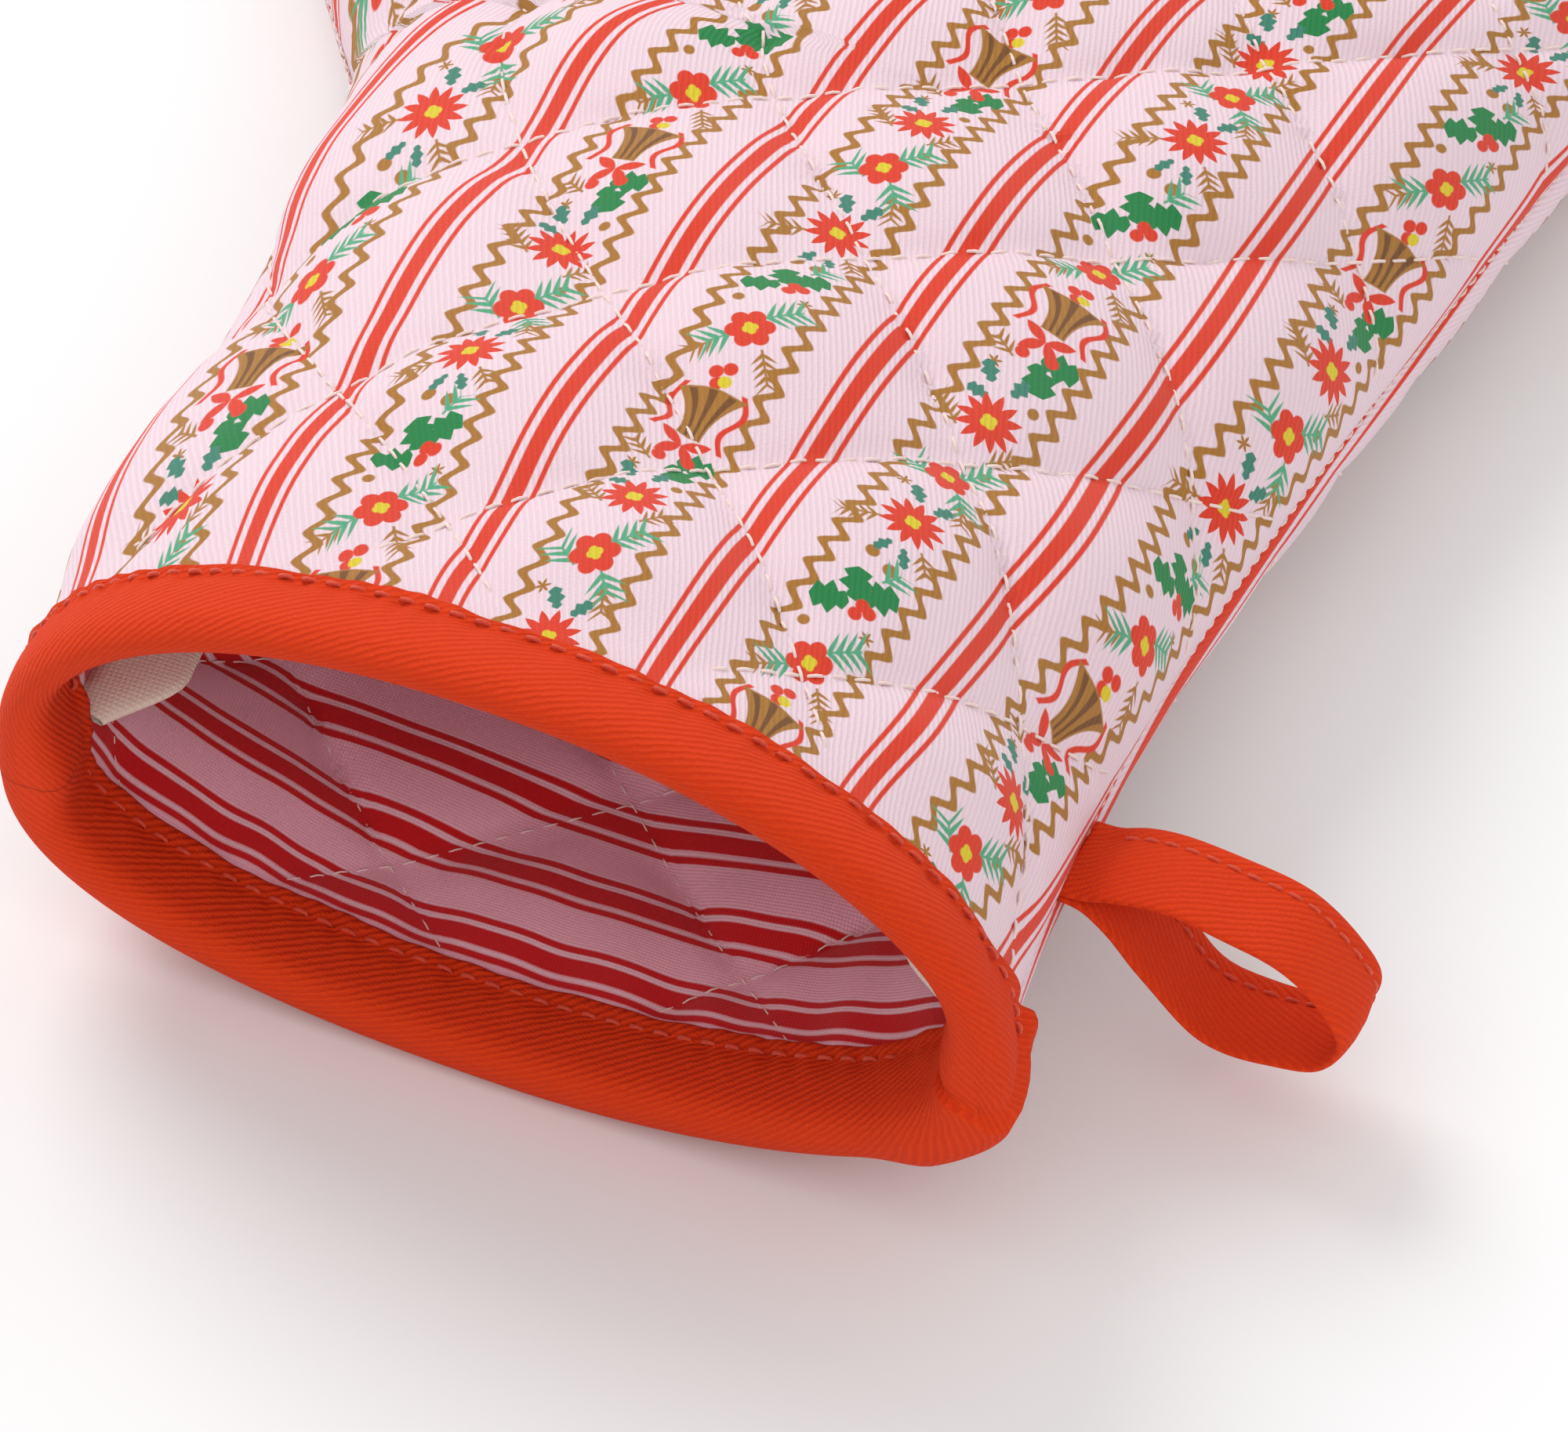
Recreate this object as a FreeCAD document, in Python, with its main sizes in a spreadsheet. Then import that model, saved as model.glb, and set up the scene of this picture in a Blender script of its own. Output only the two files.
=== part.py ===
import FreeCAD, Part

import os

# Oven mitt lying palm down, with its cuff open. Millimetres, +Z up, +Y from the cuff to the
# fingertips, thumb on the -X side, hanging loop on the +X side. The origin is on the flat
# underside, near the middle of the hand.
#
# The wall is three layers of cloth: outer panel, batting and lining. Each layer lies between
# two levels, and a level is the mitt's outer form set in by some distance. The side seam lies
# in one sloping plane, which splits every layer into a front (upper) and a back (lower) piece.

DOC = FreeCAD.newDocument("oven_mitt")
SHEET = DOC.addObject("Spreadsheet::Sheet", "dims")

DIMENSIONS = {
    # overall form
    "mitt_length": 330.0,
    "cuff_y": -160.0,
    "middle_height_at_cuff": 34.5,
    "middle_fall": 0.072,
    "seam_height_at_cuff": 27.5,
    "seam_fall": 0.052,
    # cloth
    "outer_thickness": 0.7,
    "batting_thickness": 3.2,
    "lining_thickness": 0.6,
    "thread_size": 0.35,
    "thread_width": 0.6,
    "seam_gap": 0.2,
    # cuff binding
    "binding_thickness": 0.9,
    "binding_width": 10.5,
    "binding_roll": 1.4,
    "binding_stitch_inset": 2.3,
    "overlap_start": 48.0,
    "overlap_height": 22.0,
    # tape over the seam allowances inside
    "seam_tape_width": 8.0,
    "seam_tape_thickness": 1.2,
    # quilting
    "quilt_pitch": 32.0,
    "quilt_angle": 42.0,
    "quilt_centre_x": 9.0,
    "quilt_centre_d": 85.0,
    # thumb
    "thumb_root_x": -40.0,
    "thumb_root_d": 118.0,
    "thumb_angle": 35.0,
    # hanging loop
    "loop_width": 12.0,
    "loop_thickness": 1.3,
    "loop_start_d": 28.8,
    "loop_root_x": 58.2,
    "loop_root_z": 26.4,
    "loop_stitch_inset": 2.4,
}

# Hand sections: distance from the cuff, reach to the left and right of the centre line, and
# half height. The first ones are raised by the binding that goes round them. The last ones
# close over the fingertips.
FLAT_DIP = 1.4
HAND_STATIONS = [
    (-5.0, 59.0, 62.0, "raised"),
    (0.0, 59.0, 62.0, "raised"),
    (6.0, 60.3, 60.4, "raised"),
    (12.0, 61.8, 58.8, "raised"),
    (25.0, 64.5, 56.8, "flat"),
    (60.0, 67.5, 55.0, "flat"),
    (100.0, 71.5, 57.0, "flat"),
    (140.0, 73.5, 61.5, "flat"),
    (185.0, 69.5, 66.0, "flat"),
    (225.0, 65.5, 68.0, "flat"),
    (265.0, 62.0, 66.5, "flat"),
    (295.0, 51.0, 57.0, 12.6),
    (313.0, 41.0, 48.0, 10.0),
    (324.0, 26.0, 33.0, 7.6),
    (330.0, 8.0, 16.0, 5.6),
]

# Thumb sections: distance along the thumb from its root, half width and half height.
THUMB_STATIONS = [
    (0.0, 24.0, 20.0),
    (30.0, 26.0, 21.0),
    (60.0, 26.5, 20.5),
    (90.0, 26.5, 18.5),
    (115.0, 24.5, 15.5),
    (132.0, 18.5, 11.5),
    (140.0, 12.0, 8.0),
    (143.0, 8.0, 5.6),
]

# Centre line of the loop's tape, from its root round the eye and back, as reach from the root
# along X and height above the root along Z.
LOOP_POINTS = [
    (0.0, 0.0),
    (2.2, 2.2),
    (8.5, 3.2),
    (16.5, 2.4),
    (23.5, 0.0),
    (28.5, -4.5),
    (31.0, -10.4),
    (28.6, -14.6),
    (22.5, -15.6),
    (16.0, -13.6),
    (8.0, -6.0),
    (2.2, -2.2),
]

BIG = 500.0


def fill_sheet():
    for row, (alias, value) in enumerate(DIMENSIONS.items(), start=1):
        SHEET.set(f"A{row}", alias)
        SHEET.set(f"B{row}", str(value))
        SHEET.setAlias(f"B{row}", alias)
    DOC.recompute()


def bind(thing, **expressions):
    """Binds properties to the sheet. A double underscore stands for a dot in the property."""
    for name, expression in expressions.items():
        thing.setExpression(name.replace("__", "."), expression)
    return thing


def middle_height(distance):
    return f"(dims.middle_height_at_cuff - dims.middle_fall * ({distance}))"


def seam_height(distance):
    return f"(dims.seam_height_at_cuff - dims.seam_fall * ({distance}))"


def section(name, across, height, x, distance, turn):
    """One upright elliptical section, turned about Z by turn degrees."""
    ellipse = DOC.addObject("Part::Ellipse", name)
    upright = FreeCAD.Rotation(FreeCAD.Vector(1, 0, 0), 90)
    about_z = FreeCAD.Rotation(FreeCAD.Vector(0, 0, 1), turn)
    ellipse.Placement = FreeCAD.Placement(FreeCAD.Vector(), about_z * upright)
    bind(
        ellipse,
        Placement__Base__x=x,
        Placement__Base__y=f"dims.cuff_y + {distance}",
        Placement__Base__z=middle_height(distance),
        MajorRadius=across,
        MinorRadius=height,
    )
    return ellipse


def hand_height(distance, kind):
    if kind == "raised":
        return f"{middle_height(distance)} - dims.binding_thickness"
    if kind == "flat":
        return f"{middle_height(distance)} + {FLAT_DIP}"
    return str(kind)


def loft(name, sections):
    skin = DOC.addObject("Part::Loft", name)
    skin.Sections = sections
    skin.Solid = True
    skin.Ruled = False
    return skin


def hand_loft(tag, inset, stations, side_inset):
    sections = []
    for index, (distance, left, right, kind) in enumerate(stations):
        shrink = f"(1 - ({side_inset}) / dims.mitt_length)" if distance > 0 else "1"
        reach = (left + right) / 2
        across = f"max({reach} - ({side_inset}); {0.35 * reach})"
        ellipse = section(
            f"{tag}_hand_section_{index}",
            across,
            f"min({hand_height(distance, kind)} - ({inset}); 0.9 * {across})",
            str((right - left) / 2),
            f"{distance} * {shrink}",
            0,
        )
        sections.append(ellipse)
    return loft(f"{tag}_hand", sections)


def thumb_loft(tag, inset, side_inset):
    last = THUMB_STATIONS[-1][0]
    sections = []
    for index, (reach, half_width, half_height) in enumerate(THUMB_STATIONS):
        along = f"{reach} * (1 - ({side_inset}) / {last})"
        across = f"max({half_width} - ({side_inset}); {0.35 * half_width})"
        ellipse = section(
            f"{tag}_thumb_section_{index}",
            across,
            f"min({half_height} - ({inset}); 0.9 * {across})",
            f"dims.thumb_root_x - ({along}) * sin(dims.thumb_angle)",
            f"(dims.thumb_root_d + ({along}) * cos(dims.thumb_angle))",
            DIMENSIONS["thumb_angle"],
        )
        sections.append(ellipse)
    return loft(f"{tag}_thumb", sections)


def box(name, x, y, z, length, width, height):
    made = DOC.addObject("Part::Box", name)
    return bind(
        made,
        Placement__Base__x=str(x),
        Placement__Base__y=str(y),
        Placement__Base__z=str(z),
        Length=str(length),
        Width=str(width),
        Height=str(height),
    )


def cut(name, base, tool):
    made = DOC.addObject("Part::Cut", name)
    made.Base = base
    made.Tool = tool
    return made


def common(name, base, tool):
    made = DOC.addObject("Part::Common", name)
    made.Base = base
    made.Tool = tool
    return made


def fuse(name, *pieces):
    made = DOC.addObject("Part::MultiFuse", name)
    made.Shapes = list(pieces)
    return made


def level(tag, inset, side_inset=None):
    """The mitt's outer form set in by inset all round, with its underside flat."""
    side = side_inset or inset
    form = fuse(f"{tag}_form", hand_loft(tag, inset, HAND_STATIONS, side), thumb_loft(tag, inset, side))
    below = box(f"{tag}_below", -BIG / 2, -BIG / 2, f"({inset}) - {BIG}", BIG, BIG, BIG)
    return cut(f"{tag}_level", form, below)


def cuff_level(tag, inset):
    """The same for the stretch round the cuff only, never lower than the underside."""
    form = hand_loft(tag, inset, HAND_STATIONS[:6], inset)
    below = box(f"{tag}_below", -BIG / 2, -BIG / 2, -BIG, BIG, BIG, BIG)
    return cut(f"{tag}_level", form, below)


def half_space(name, low, high, low_end, high_end, first="0"):
    """A wedge that runs the mitt's length between two sloping planes."""
    made = DOC.addObject("Part::Wedge", name)
    return bind(
        made,
        Xmin=str(-BIG / 2),
        Xmax=str(BIG / 2),
        X2min=str(-BIG / 2),
        X2max=str(BIG / 2),
        Ymin=f"dims.cuff_y + {first}",
        Ymax="dims.cuff_y + dims.mitt_length + 10",
        Zmin=low,
        Zmax=high,
        Z2min=low_end,
        Z2max=high_end,
    )


def seam_slab(name, half, first="0"):
    end = seam_height("dims.mitt_length + 10")
    start = seam_height(first)
    return half_space(
        name,
        f"{start} - {half}",
        f"{start} + {half}",
        f"{end} - {half}",
        f"{end} + {half}",
        first,
    )


def finish_part(thing, name):
    thing.Label = name
    PARTS.append(thing)
    return thing


PARTS = []
fill_sheet()

OUTER = "dims.outer_thickness"
BATTING = f"({OUTER} + dims.batting_thickness)"
LINING = f"({BATTING} + dims.lining_thickness)"

outer_level = level("outer", "0")
batting_level = level("batting", OUTER)
lining_level = level("lining", BATTING)
cavity_level = level("cavity", LINING)

seam_start = seam_height("0")
seam_end = seam_height("dims.mitt_length + 10")
front_side = half_space(
    "front_side",
    f"{seam_start} + dims.seam_gap",
    "120",
    f"{seam_end} + dims.seam_gap",
    "120",
)
back_side = half_space(
    "back_side",
    "-20",
    f"{seam_start} - dims.seam_gap",
    "-20",
    f"{seam_end} - dims.seam_gap",
)


def make_layers():
    """Outer panel, batting and lining, each as a front and a back piece."""
    layers = {
        "outer_panel": (outer_level, batting_level),
        "batting": (batting_level, lining_level),
        "lining": (lining_level, cavity_level),
    }
    for layer, (outside, inside) in layers.items():
        shell = cut(f"{layer}_shell", outside, inside)
        for side, space in (("front", front_side), ("back", back_side)):
            finish_part(common(f"{side}_{layer}_solid", shell, space), f"{side}_{layer}")


def make_side_seam():
    """The seam's thread, between the edges of the two quilted panels."""
    wall = cut("seam_wall", outer_level, lining_level)
    slab = seam_slab("seam_thread_slab", "dims.seam_gap")
    finish_part(common("side_seam_solid", wall, slab), "side_seam_stitching")


def make_seam_tape():
    """The tape that wraps the seam allowances inside, all the way round the seam."""
    hollow = level("tape", LINING, f"({LINING} + dims.seam_tape_width)")
    ring = cut("tape_ring", cavity_level, hollow)
    slab = seam_slab("tape_slab", "dims.seam_tape_thickness / 2", "dims.binding_width")
    finish_part(common("seam_tape_solid", ring, slab), "inner_seam_tape")


def make_binding():
    """A folded strip over the cuff's edge, with its last end laid over its first."""
    outside = cuff_level("binding_outer", "-dims.binding_thickness")
    inside = cuff_level("binding_inner", f"({LINING} + dims.binding_thickness)")
    first = "dims.cuff_y - dims.binding_roll"
    width = "dims.binding_width + dims.binding_roll"
    reach = box("binding_reach", -BIG / 2, first, -BIG / 2, BIG, width, BIG)
    strip = cut("binding_blank", common("binding_band", outside, reach), inside)
    wall_start = box("wall_start", -BIG / 2, f"dims.cuff_y - {BIG}", -BIG / 2, BIG, BIG, BIG)
    wall = cut("cuff_wall", cut("wall_blank", outer_level, cavity_level), wall_start)
    folded = cut("binding_folded", strip, wall)
    over = cut("overlap_blank", cuff_level("overlap", "-2 * dims.binding_thickness"), outside)
    corner = box(
        "overlap_corner",
        "dims.overlap_start",
        first,
        "12",
        40,
        width,
        "dims.overlap_height",
    )
    overlap = common("overlap_end", over, corner)
    finish_part(fuse("binding_solid", folded, overlap), "cuff_binding")
    return inside


def make_binding_stitching(inside):
    """The line of thread round the binding, on its inner face, where its stitches stand proud.
    On the outer face they are sunk into the cloth.
    """
    first = "dims.cuff_y + dims.binding_width - dims.binding_stitch_inset"
    reach = box("stitch_reach", -BIG / 2, first, 0, BIG, "dims.thread_width", BIG)
    deep = cuff_level("inner_thread", f"({LINING} + dims.binding_thickness + dims.thread_size)")
    thread = common("binding_stitch_solid", cut("inner_thread_shell", inside, deep), reach)
    finish_part(thread, "binding_stitching")


def quilt_slabs():
    """Upright thin walls through every quilting line, in both diagonal directions."""
    walls = []
    for direction in (-1, 1):
        for index in range(-6, 7):
            wall = box(f"quilt_wall_{direction + 1}_{index + 6}", 0, 0, 0, BIG, 1, 150)
            angle = f"({direction} * dims.quilt_angle)"
            shift = f"({index} * dims.quilt_pitch)"
            wall.Placement.Rotation = FreeCAD.Rotation(
                FreeCAD.Vector(0, 0, 1), direction * DIMENSIONS["quilt_angle"]
            )
            start_x = f"- {BIG / 2} * cos({angle}) - {shift} * sin({angle})"
            start_y = f"- {BIG / 2} * sin({angle}) + {shift} * cos({angle})"
            bind(
                wall,
                Width="dims.thread_width",
                Placement__Base__x=f"dims.quilt_centre_x {start_x}",
                Placement__Base__y=f"dims.cuff_y + dims.quilt_centre_d {start_y}",
            )
            walls.append(wall)
    return fuse("quilt_walls", *walls)


def make_quilting():
    """The quilting thread of each panel, outside on the print and inside on the lining."""
    outside = level("thread_outer", "-dims.thread_size")
    inside = level("thread_inner", f"({LINING} + dims.thread_size)")
    shells = fuse(
        "thread_shells",
        cut("thread_outer_shell", outside, outer_level),
        cut("thread_inner_shell", cavity_level, inside),
    )
    lines = common("thread_lines", shells, quilt_slabs())
    past_binding = "dims.binding_width + 0.5"
    front = half_space(
        "front_thread_space",
        f"{seam_height(past_binding)} + 1.5",
        "120",
        f"{seam_end} + 1.5",
        "120",
        past_binding,
    )
    back = half_space(
        "back_thread_space",
        "0",
        f"{seam_height(past_binding)} - 1.5",
        "0",
        f"{seam_end} - 1.5",
        past_binding,
    )
    finish_part(common("front_thread_solid", lines, front), "front_quilting_thread")
    finish_part(common("back_thread_solid", lines, back), "back_quilting_thread")


def loop_outline(offset):
    """A closed curve that runs beside the tape's centre line, offset mm outside it."""
    centre = Part.BSplineCurve()
    centre.interpolate([FreeCAD.Vector(x, 0, z) for x, z in LOOP_POINTS], PeriodicFlag=True)
    span = centre.LastParameter - centre.FirstParameter
    samples = 60
    points = []
    for index in range(samples):
        at = centre.FirstParameter + span * index / samples
        along = centre.tangent(at)[0]
        outward = FreeCAD.Vector(-along.z, 0, along.x)
        points.append(centre.value(at) + outward * offset)
    curve = Part.BSplineCurve()
    curve.interpolate(points, PeriodicFlag=True)
    return Part.Wire([curve.toShape()])


def loop_band(name, outer, inner, first, width):
    """A flat band that follows the loop, between two offsets of its centre line."""
    profile = DOC.addObject("Part::Feature", f"{name}_profile")
    profile.Shape = Part.Face(loop_outline(outer)).cut(Part.Face(loop_outline(inner)))
    band = DOC.addObject("Part::Extrusion", name)
    band.Base = profile
    band.Dir = FreeCAD.Vector(0, 1, 0)
    band.DirMode = "Custom"
    band.Solid = True
    return bind(
        band,
        LengthFwd=width,
        Placement__Base__x="dims.loop_root_x",
        Placement__Base__y=f"dims.cuff_y + {first}",
        Placement__Base__z="dims.loop_root_z",
    )


def make_loop():
    """The hanging loop: one folded tape, sewn in at the side seam, with an edge stitch."""
    half = SHEET.get("loop_thickness") / 2
    thread = SHEET.get("thread_size")
    band = loop_band("loop_band", half, -half, "dims.loop_start_d", "dims.loop_width")
    finish_part(band, "hanging_loop")
    first = "dims.loop_start_d + dims.loop_width - dims.loop_stitch_inset"
    stitch = loop_band("loop_thread", half + thread, half, first, "dims.thread_width")
    finish_part(stitch, "loop_edge_stitching")


def check_document():
    DOC.recompute()
    for thing in DOC.Objects:
        if "Invalid" in thing.State or "Error" in thing.State:
            raise RuntimeError(f"{thing.Name} failed: {thing.State}")
    for thing in PARTS:
        if thing.Shape.isNull() or not thing.Shape.isValid() or not thing.Shape.Solids:
            raise RuntimeError(f"{thing.Label} is not a valid solid")


def write_parts():
    os.makedirs("parts", exist_ok=True)
    for thing in PARTS:
        thing.Shape.exportStep(f"parts/{thing.Label}.step")
        box_now = thing.Shape.BoundBox
        print(
            f"{thing.Label}: {len(thing.Shape.Solids)} solids, {thing.Shape.Volume:.0f} mm3, "
            f"x {box_now.XMin:.1f} {box_now.XMax:.1f} y {box_now.YMin:.1f} {box_now.YMax:.1f} "
            f"z {box_now.ZMin:.2f} {box_now.ZMax:.1f}"
        )


make_layers()
make_side_seam()
make_seam_tape()
make_binding_stitching(make_binding())
make_quilting()
make_loop()
check_document()
write_parts()
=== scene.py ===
import itertools
import math

import bpy
import numpy as np
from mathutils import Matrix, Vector
from mathutils.bvhtree import BVHTree


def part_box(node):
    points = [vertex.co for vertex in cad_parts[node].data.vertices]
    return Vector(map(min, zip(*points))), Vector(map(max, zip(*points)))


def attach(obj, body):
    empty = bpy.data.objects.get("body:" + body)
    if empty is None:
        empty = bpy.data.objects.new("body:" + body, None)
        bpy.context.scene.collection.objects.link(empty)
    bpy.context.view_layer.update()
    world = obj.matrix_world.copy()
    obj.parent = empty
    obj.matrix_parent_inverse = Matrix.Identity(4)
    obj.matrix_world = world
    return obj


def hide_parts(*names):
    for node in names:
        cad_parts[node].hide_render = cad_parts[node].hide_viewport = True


# A quilted oven mitt lying palm down. Shapes are worked out in millimetres in the part's own
# frame: X across, Y from the cuff to the fingertips, Z up. "Along" is the distance from the
# cuff, and a layer's depth is measured inward from the mitt's outer surface.

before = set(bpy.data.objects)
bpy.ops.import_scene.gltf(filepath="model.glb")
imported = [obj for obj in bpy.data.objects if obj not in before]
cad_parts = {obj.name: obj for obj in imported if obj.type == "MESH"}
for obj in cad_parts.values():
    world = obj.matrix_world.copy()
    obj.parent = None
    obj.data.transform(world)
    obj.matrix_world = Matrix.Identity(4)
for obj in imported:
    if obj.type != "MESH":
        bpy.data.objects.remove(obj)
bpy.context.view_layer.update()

MM = 0.001
CUFF_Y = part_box("front_outer_panel")[0][1] / MM

# ---------------------------------------------------------------- sizes of the real thing
LENGTH = 330.0
# Heights over the table at the cuff, and how much they fall for each mm along.
SEAM_AT_CUFF, SEAM_FALL = 27.5, 0.052
MIDDLE_AT_CUFF, MIDDLE_FALL = 34.5, 0.072
# The cuff's top leans out over its lower edge by LEAN for each mm of height, up to LEAN_REACH along.
LEAN, LEAN_REACH = 0.075, 60.0
WALL = 4.6
# The least height of a panel over its seam, where the mitt closes at its tips.
SEAM_GAP = 0.02
# Spacing of the cloth's grid.
GRID = 1.5
# How square the cross-sections are: 2 is an ellipse. The last is the underside on the loop's side.
FRONT_POWER, BACK_POWER, BACK_RIGHT_POWER = 2.15, 2.45, 1.85

# The thumb's turn from the hand, and where its middle line starts in plan.
THUMB_ANGLE = math.radians(35.0)
THUMB_ROOT = np.array([-40.0, 118.0])
THUMB_LENGTH = 144.0
# The thumb joins the hand between these distances from the cuff.
BASE_FIRST, BASE_LAST = 120.0, 203.0
# The thumb's two edges leave the hand at these distances from its root.
OUTER_START, INNER_START = 20.0, 86.0
# The hand's fingertips round off from TIP_START. Arcs say how long the cloth's grids run.
TIP_START, TIP_ARC, ROW_LENGTH, THUMB_ARC = 270.0, 84.0, 170.0, 105.0
# How far from the joint's middle the hand and the thumb are blended, and from where along the hand.
BLEND_FULL, BLEND_END, BLEND_FROM = 45.0, 75.0, 60.0

# The cloth's own coordinates: its edge at the loop's side, its turn, and its ease.
PRINT_EDGE, PRINT_TURN, PRINT_EASE, THUMB_EASE = 75.0, 0.014, 0.98, 1.06
# A crossing of the quilting lines, and the ways to the next ones across and along.
QUILT_ORIGIN = np.array([9.2, 85.3])
QUILT_ACROSS = np.array([46.5, -1.4])
QUILT_ALONG = np.array([1.3, 43.1])
PUFF, LINING_PUFF = 3.6, -3.2

# Spacing of the print's garlands, the place of one between two, and their slant to the cloth.
STRIPE_PITCH, STRIPE_START, STRIPE_LEAN = 27.2, -10.9, 0.0258


# ---------------------------------------------------------------- small numeric tools
def curve(points):
    """A smooth function through a few (x, y) points."""
    xs, ys = np.array(points, float).T
    slopes = np.gradient(ys, xs)

    def at(x):
        x = np.clip(np.asarray(x, float), xs[0], xs[-1])
        i = np.clip(np.searchsorted(xs, x) - 1, 0, len(xs) - 2)
        step = xs[i + 1] - xs[i]
        t = (x - xs[i]) / step
        low = (1 + 2 * t) * (1 - t) ** 2 * ys[i] + t * (1 - t) ** 2 * step * slopes[i]
        high = t * t * (3 - 2 * t) * ys[i + 1] - t * t * (1 - t) * step * slopes[i + 1]
        return low + high

    return at


def ramp(x, start, end):
    """Smooth step from 0 at start to 1 at end."""
    t = np.clip((np.asarray(x, float) - start) / (end - start), 0, 1)
    return t * t * (3 - 2 * t)


def closing(x, start, end, power):
    """1 up to start, then rounding down to 0 at end."""
    t = np.clip((np.asarray(x, float) - start) / (end - start), 0, 1)
    return np.maximum(1 - t**power, 0) ** (1 / power)


def unit(vectors):
    """The same directions at length 1."""
    return vectors / np.maximum(np.linalg.norm(vectors, axis=1, keepdims=True), 1e-9)


def distance_along(points):
    """How far along the line each of its points is."""
    return np.concatenate([[0], np.cumsum(np.linalg.norm(np.diff(points, axis=0), axis=1))])


def ripple(u, v, seed, wavelength, count=14):
    """Gentle random waves over the cloth, about 1 high."""
    rng = np.random.default_rng(seed)
    total = np.zeros_like(np.asarray(u, float))
    for _ in range(count):
        angle = rng.uniform(0, math.pi)
        size = wavelength * rng.uniform(0.7, 1.5)
        phase = rng.uniform(0, 2 * math.pi)
        total += np.sin(2 * math.pi * (u * math.cos(angle) + v * math.sin(angle)) / size + phase)
    return total / math.sqrt(count)


# ---------------------------------------------------------------- the mitt's form
# Each curve goes through (distance from the cuff or from the thumb's root, size) pairs, in mm.
seam_left_hand = curve(
    [(0, 59), (12, 61.4), (25, 63.6), (60, 66.2), (100, 72.5), (120, 77)]
    + [(145, 77.5), (185, 70.5), (225, 65.8), (270, 62)]
)
seam_right_hand = curve(
    [(0, 62), (12, 58.8), (25, 56.8), (60, 54.6), (100, 56), (140, 59.5), (185, 64), (225, 66.8), (270, 66.0)]
)
thumb_front_height = curve(
    [(20, 23.8), (50, 23.5), (90, 20.8), (115, 17.5), (132, 13.3), (140, 9.7), (144, 2)]
)
thumb_back_depth = curve([(20, 19), (50, 18), (90, 16.2), (115, 13.5), (132, 9.7), (140, 6.1), (144, 2)])


def seam_height(along):
    return SEAM_AT_CUFF - SEAM_FALL * np.asarray(along, float)


def middle_height(along):
    return MIDDLE_AT_CUFF - MIDDLE_FALL * np.asarray(along, float)


def hand_edges(along):
    """X of the hand's left and right seams, without the thumb."""
    left, right = -seam_left_hand(along), seam_right_hand(along)
    centre, half = (left + right) / 2, (right - left) / 2
    half = half * closing(along, 268, LENGTH + 1, 2.2)
    return centre - half, centre + half


def hand_front_height(along):
    raised = 1 - ramp(along, 10, 25)
    full = 2 * middle_height(along) + 1.4 - 1.0 * raised - seam_height(along)
    return np.maximum(full * closing(along, 245, LENGTH, 2.6), SEAM_GAP)


def hand_back_depth(along):
    raised = 1 - ramp(along, 8, 22)
    full = seam_height(along) - 0.9 * raised
    return np.maximum(full * closing(along, 268, LENGTH, 3.0), SEAM_GAP)


def back_right_power(along):
    return BACK_RIGHT_POWER + (BACK_POWER - BACK_RIGHT_POWER) * ramp(along, 40, 140)


def thumb_half_width(reach):
    return (24 + 2.4 * ramp(reach, 0, 60)) * closing(reach, 92, THUMB_LENGTH + 0.6, 2.3)


THUMB_OUT = np.array([-math.sin(THUMB_ANGLE), math.cos(THUMB_ANGLE)])
THUMB_SIDE = np.array([math.cos(THUMB_ANGLE), math.sin(THUMB_ANGLE)])


def thumb_edge(reach, side):
    """Plan point on the thumb's seam: side -1 is the outer edge, +1 the one beside the hand."""
    reach = np.asarray(reach, float)
    centre = THUMB_ROOT + np.multiply.outer(reach, THUMB_OUT)
    return centre + side * thumb_half_width(reach)[..., None] * THUMB_SIDE


def arch(left, right, centre, left_height, height, power, count, right_power=None):
    """Points of one row, evenly spaced over an arch from left to right: (x, height, length)."""
    share = np.clip(left_height / height, 0, 0.98) ** (power / 2)
    right_power = right_power or power
    first = math.asin(share)
    reach = (centre - left) / max(math.cos(first), 1e-6) ** (2 / power)
    turn = np.linspace(first, math.pi, 240)
    cosine, sine = np.cos(turn), np.clip(np.sin(turn), 0, 1)
    span = np.where(cosine > 0, reach, right - centre)
    power = np.where(cosine > 0, power, right_power)
    x = centre - np.sign(cosine) * span * np.abs(cosine) ** (2 / power)
    z = height * sine ** (2 / power)
    length = np.concatenate([[0], np.cumsum(np.hypot(np.diff(x), np.diff(z)))])
    even = np.linspace(0, length[-1], count)
    return np.interp(even, length, x), np.interp(even, length, z), even


def grip(height):
    """How much thinner the binding squeezes the wall. It does so over the top of the cuff."""
    return 0.38 * ramp(height, 30, 48)


def squeeze(places):
    """How much thinner the wall is near the binding."""
    return grip(places[..., 2]) * (1 - ramp(places[..., 1], 8, 30))


def drift(u, v):
    """How far the printed and quilted cloth wanders from true, in mm, where it was eased to the lining."""
    across, along = np.clip(u / 60, -1.2, 1.1), np.clip((v - 80) / 80, -1.0, 1.1)
    sideways = 1.4 * along**2 - 2.5 * across**3 + 8.0 * across * along**2 - 3.3 * along**3
    lengthways = -3.3 + 3.0 * across + 8.5 * across * along - 18.0 * across**2 * along
    return np.stack([sideways, lengthways], -1)


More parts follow.
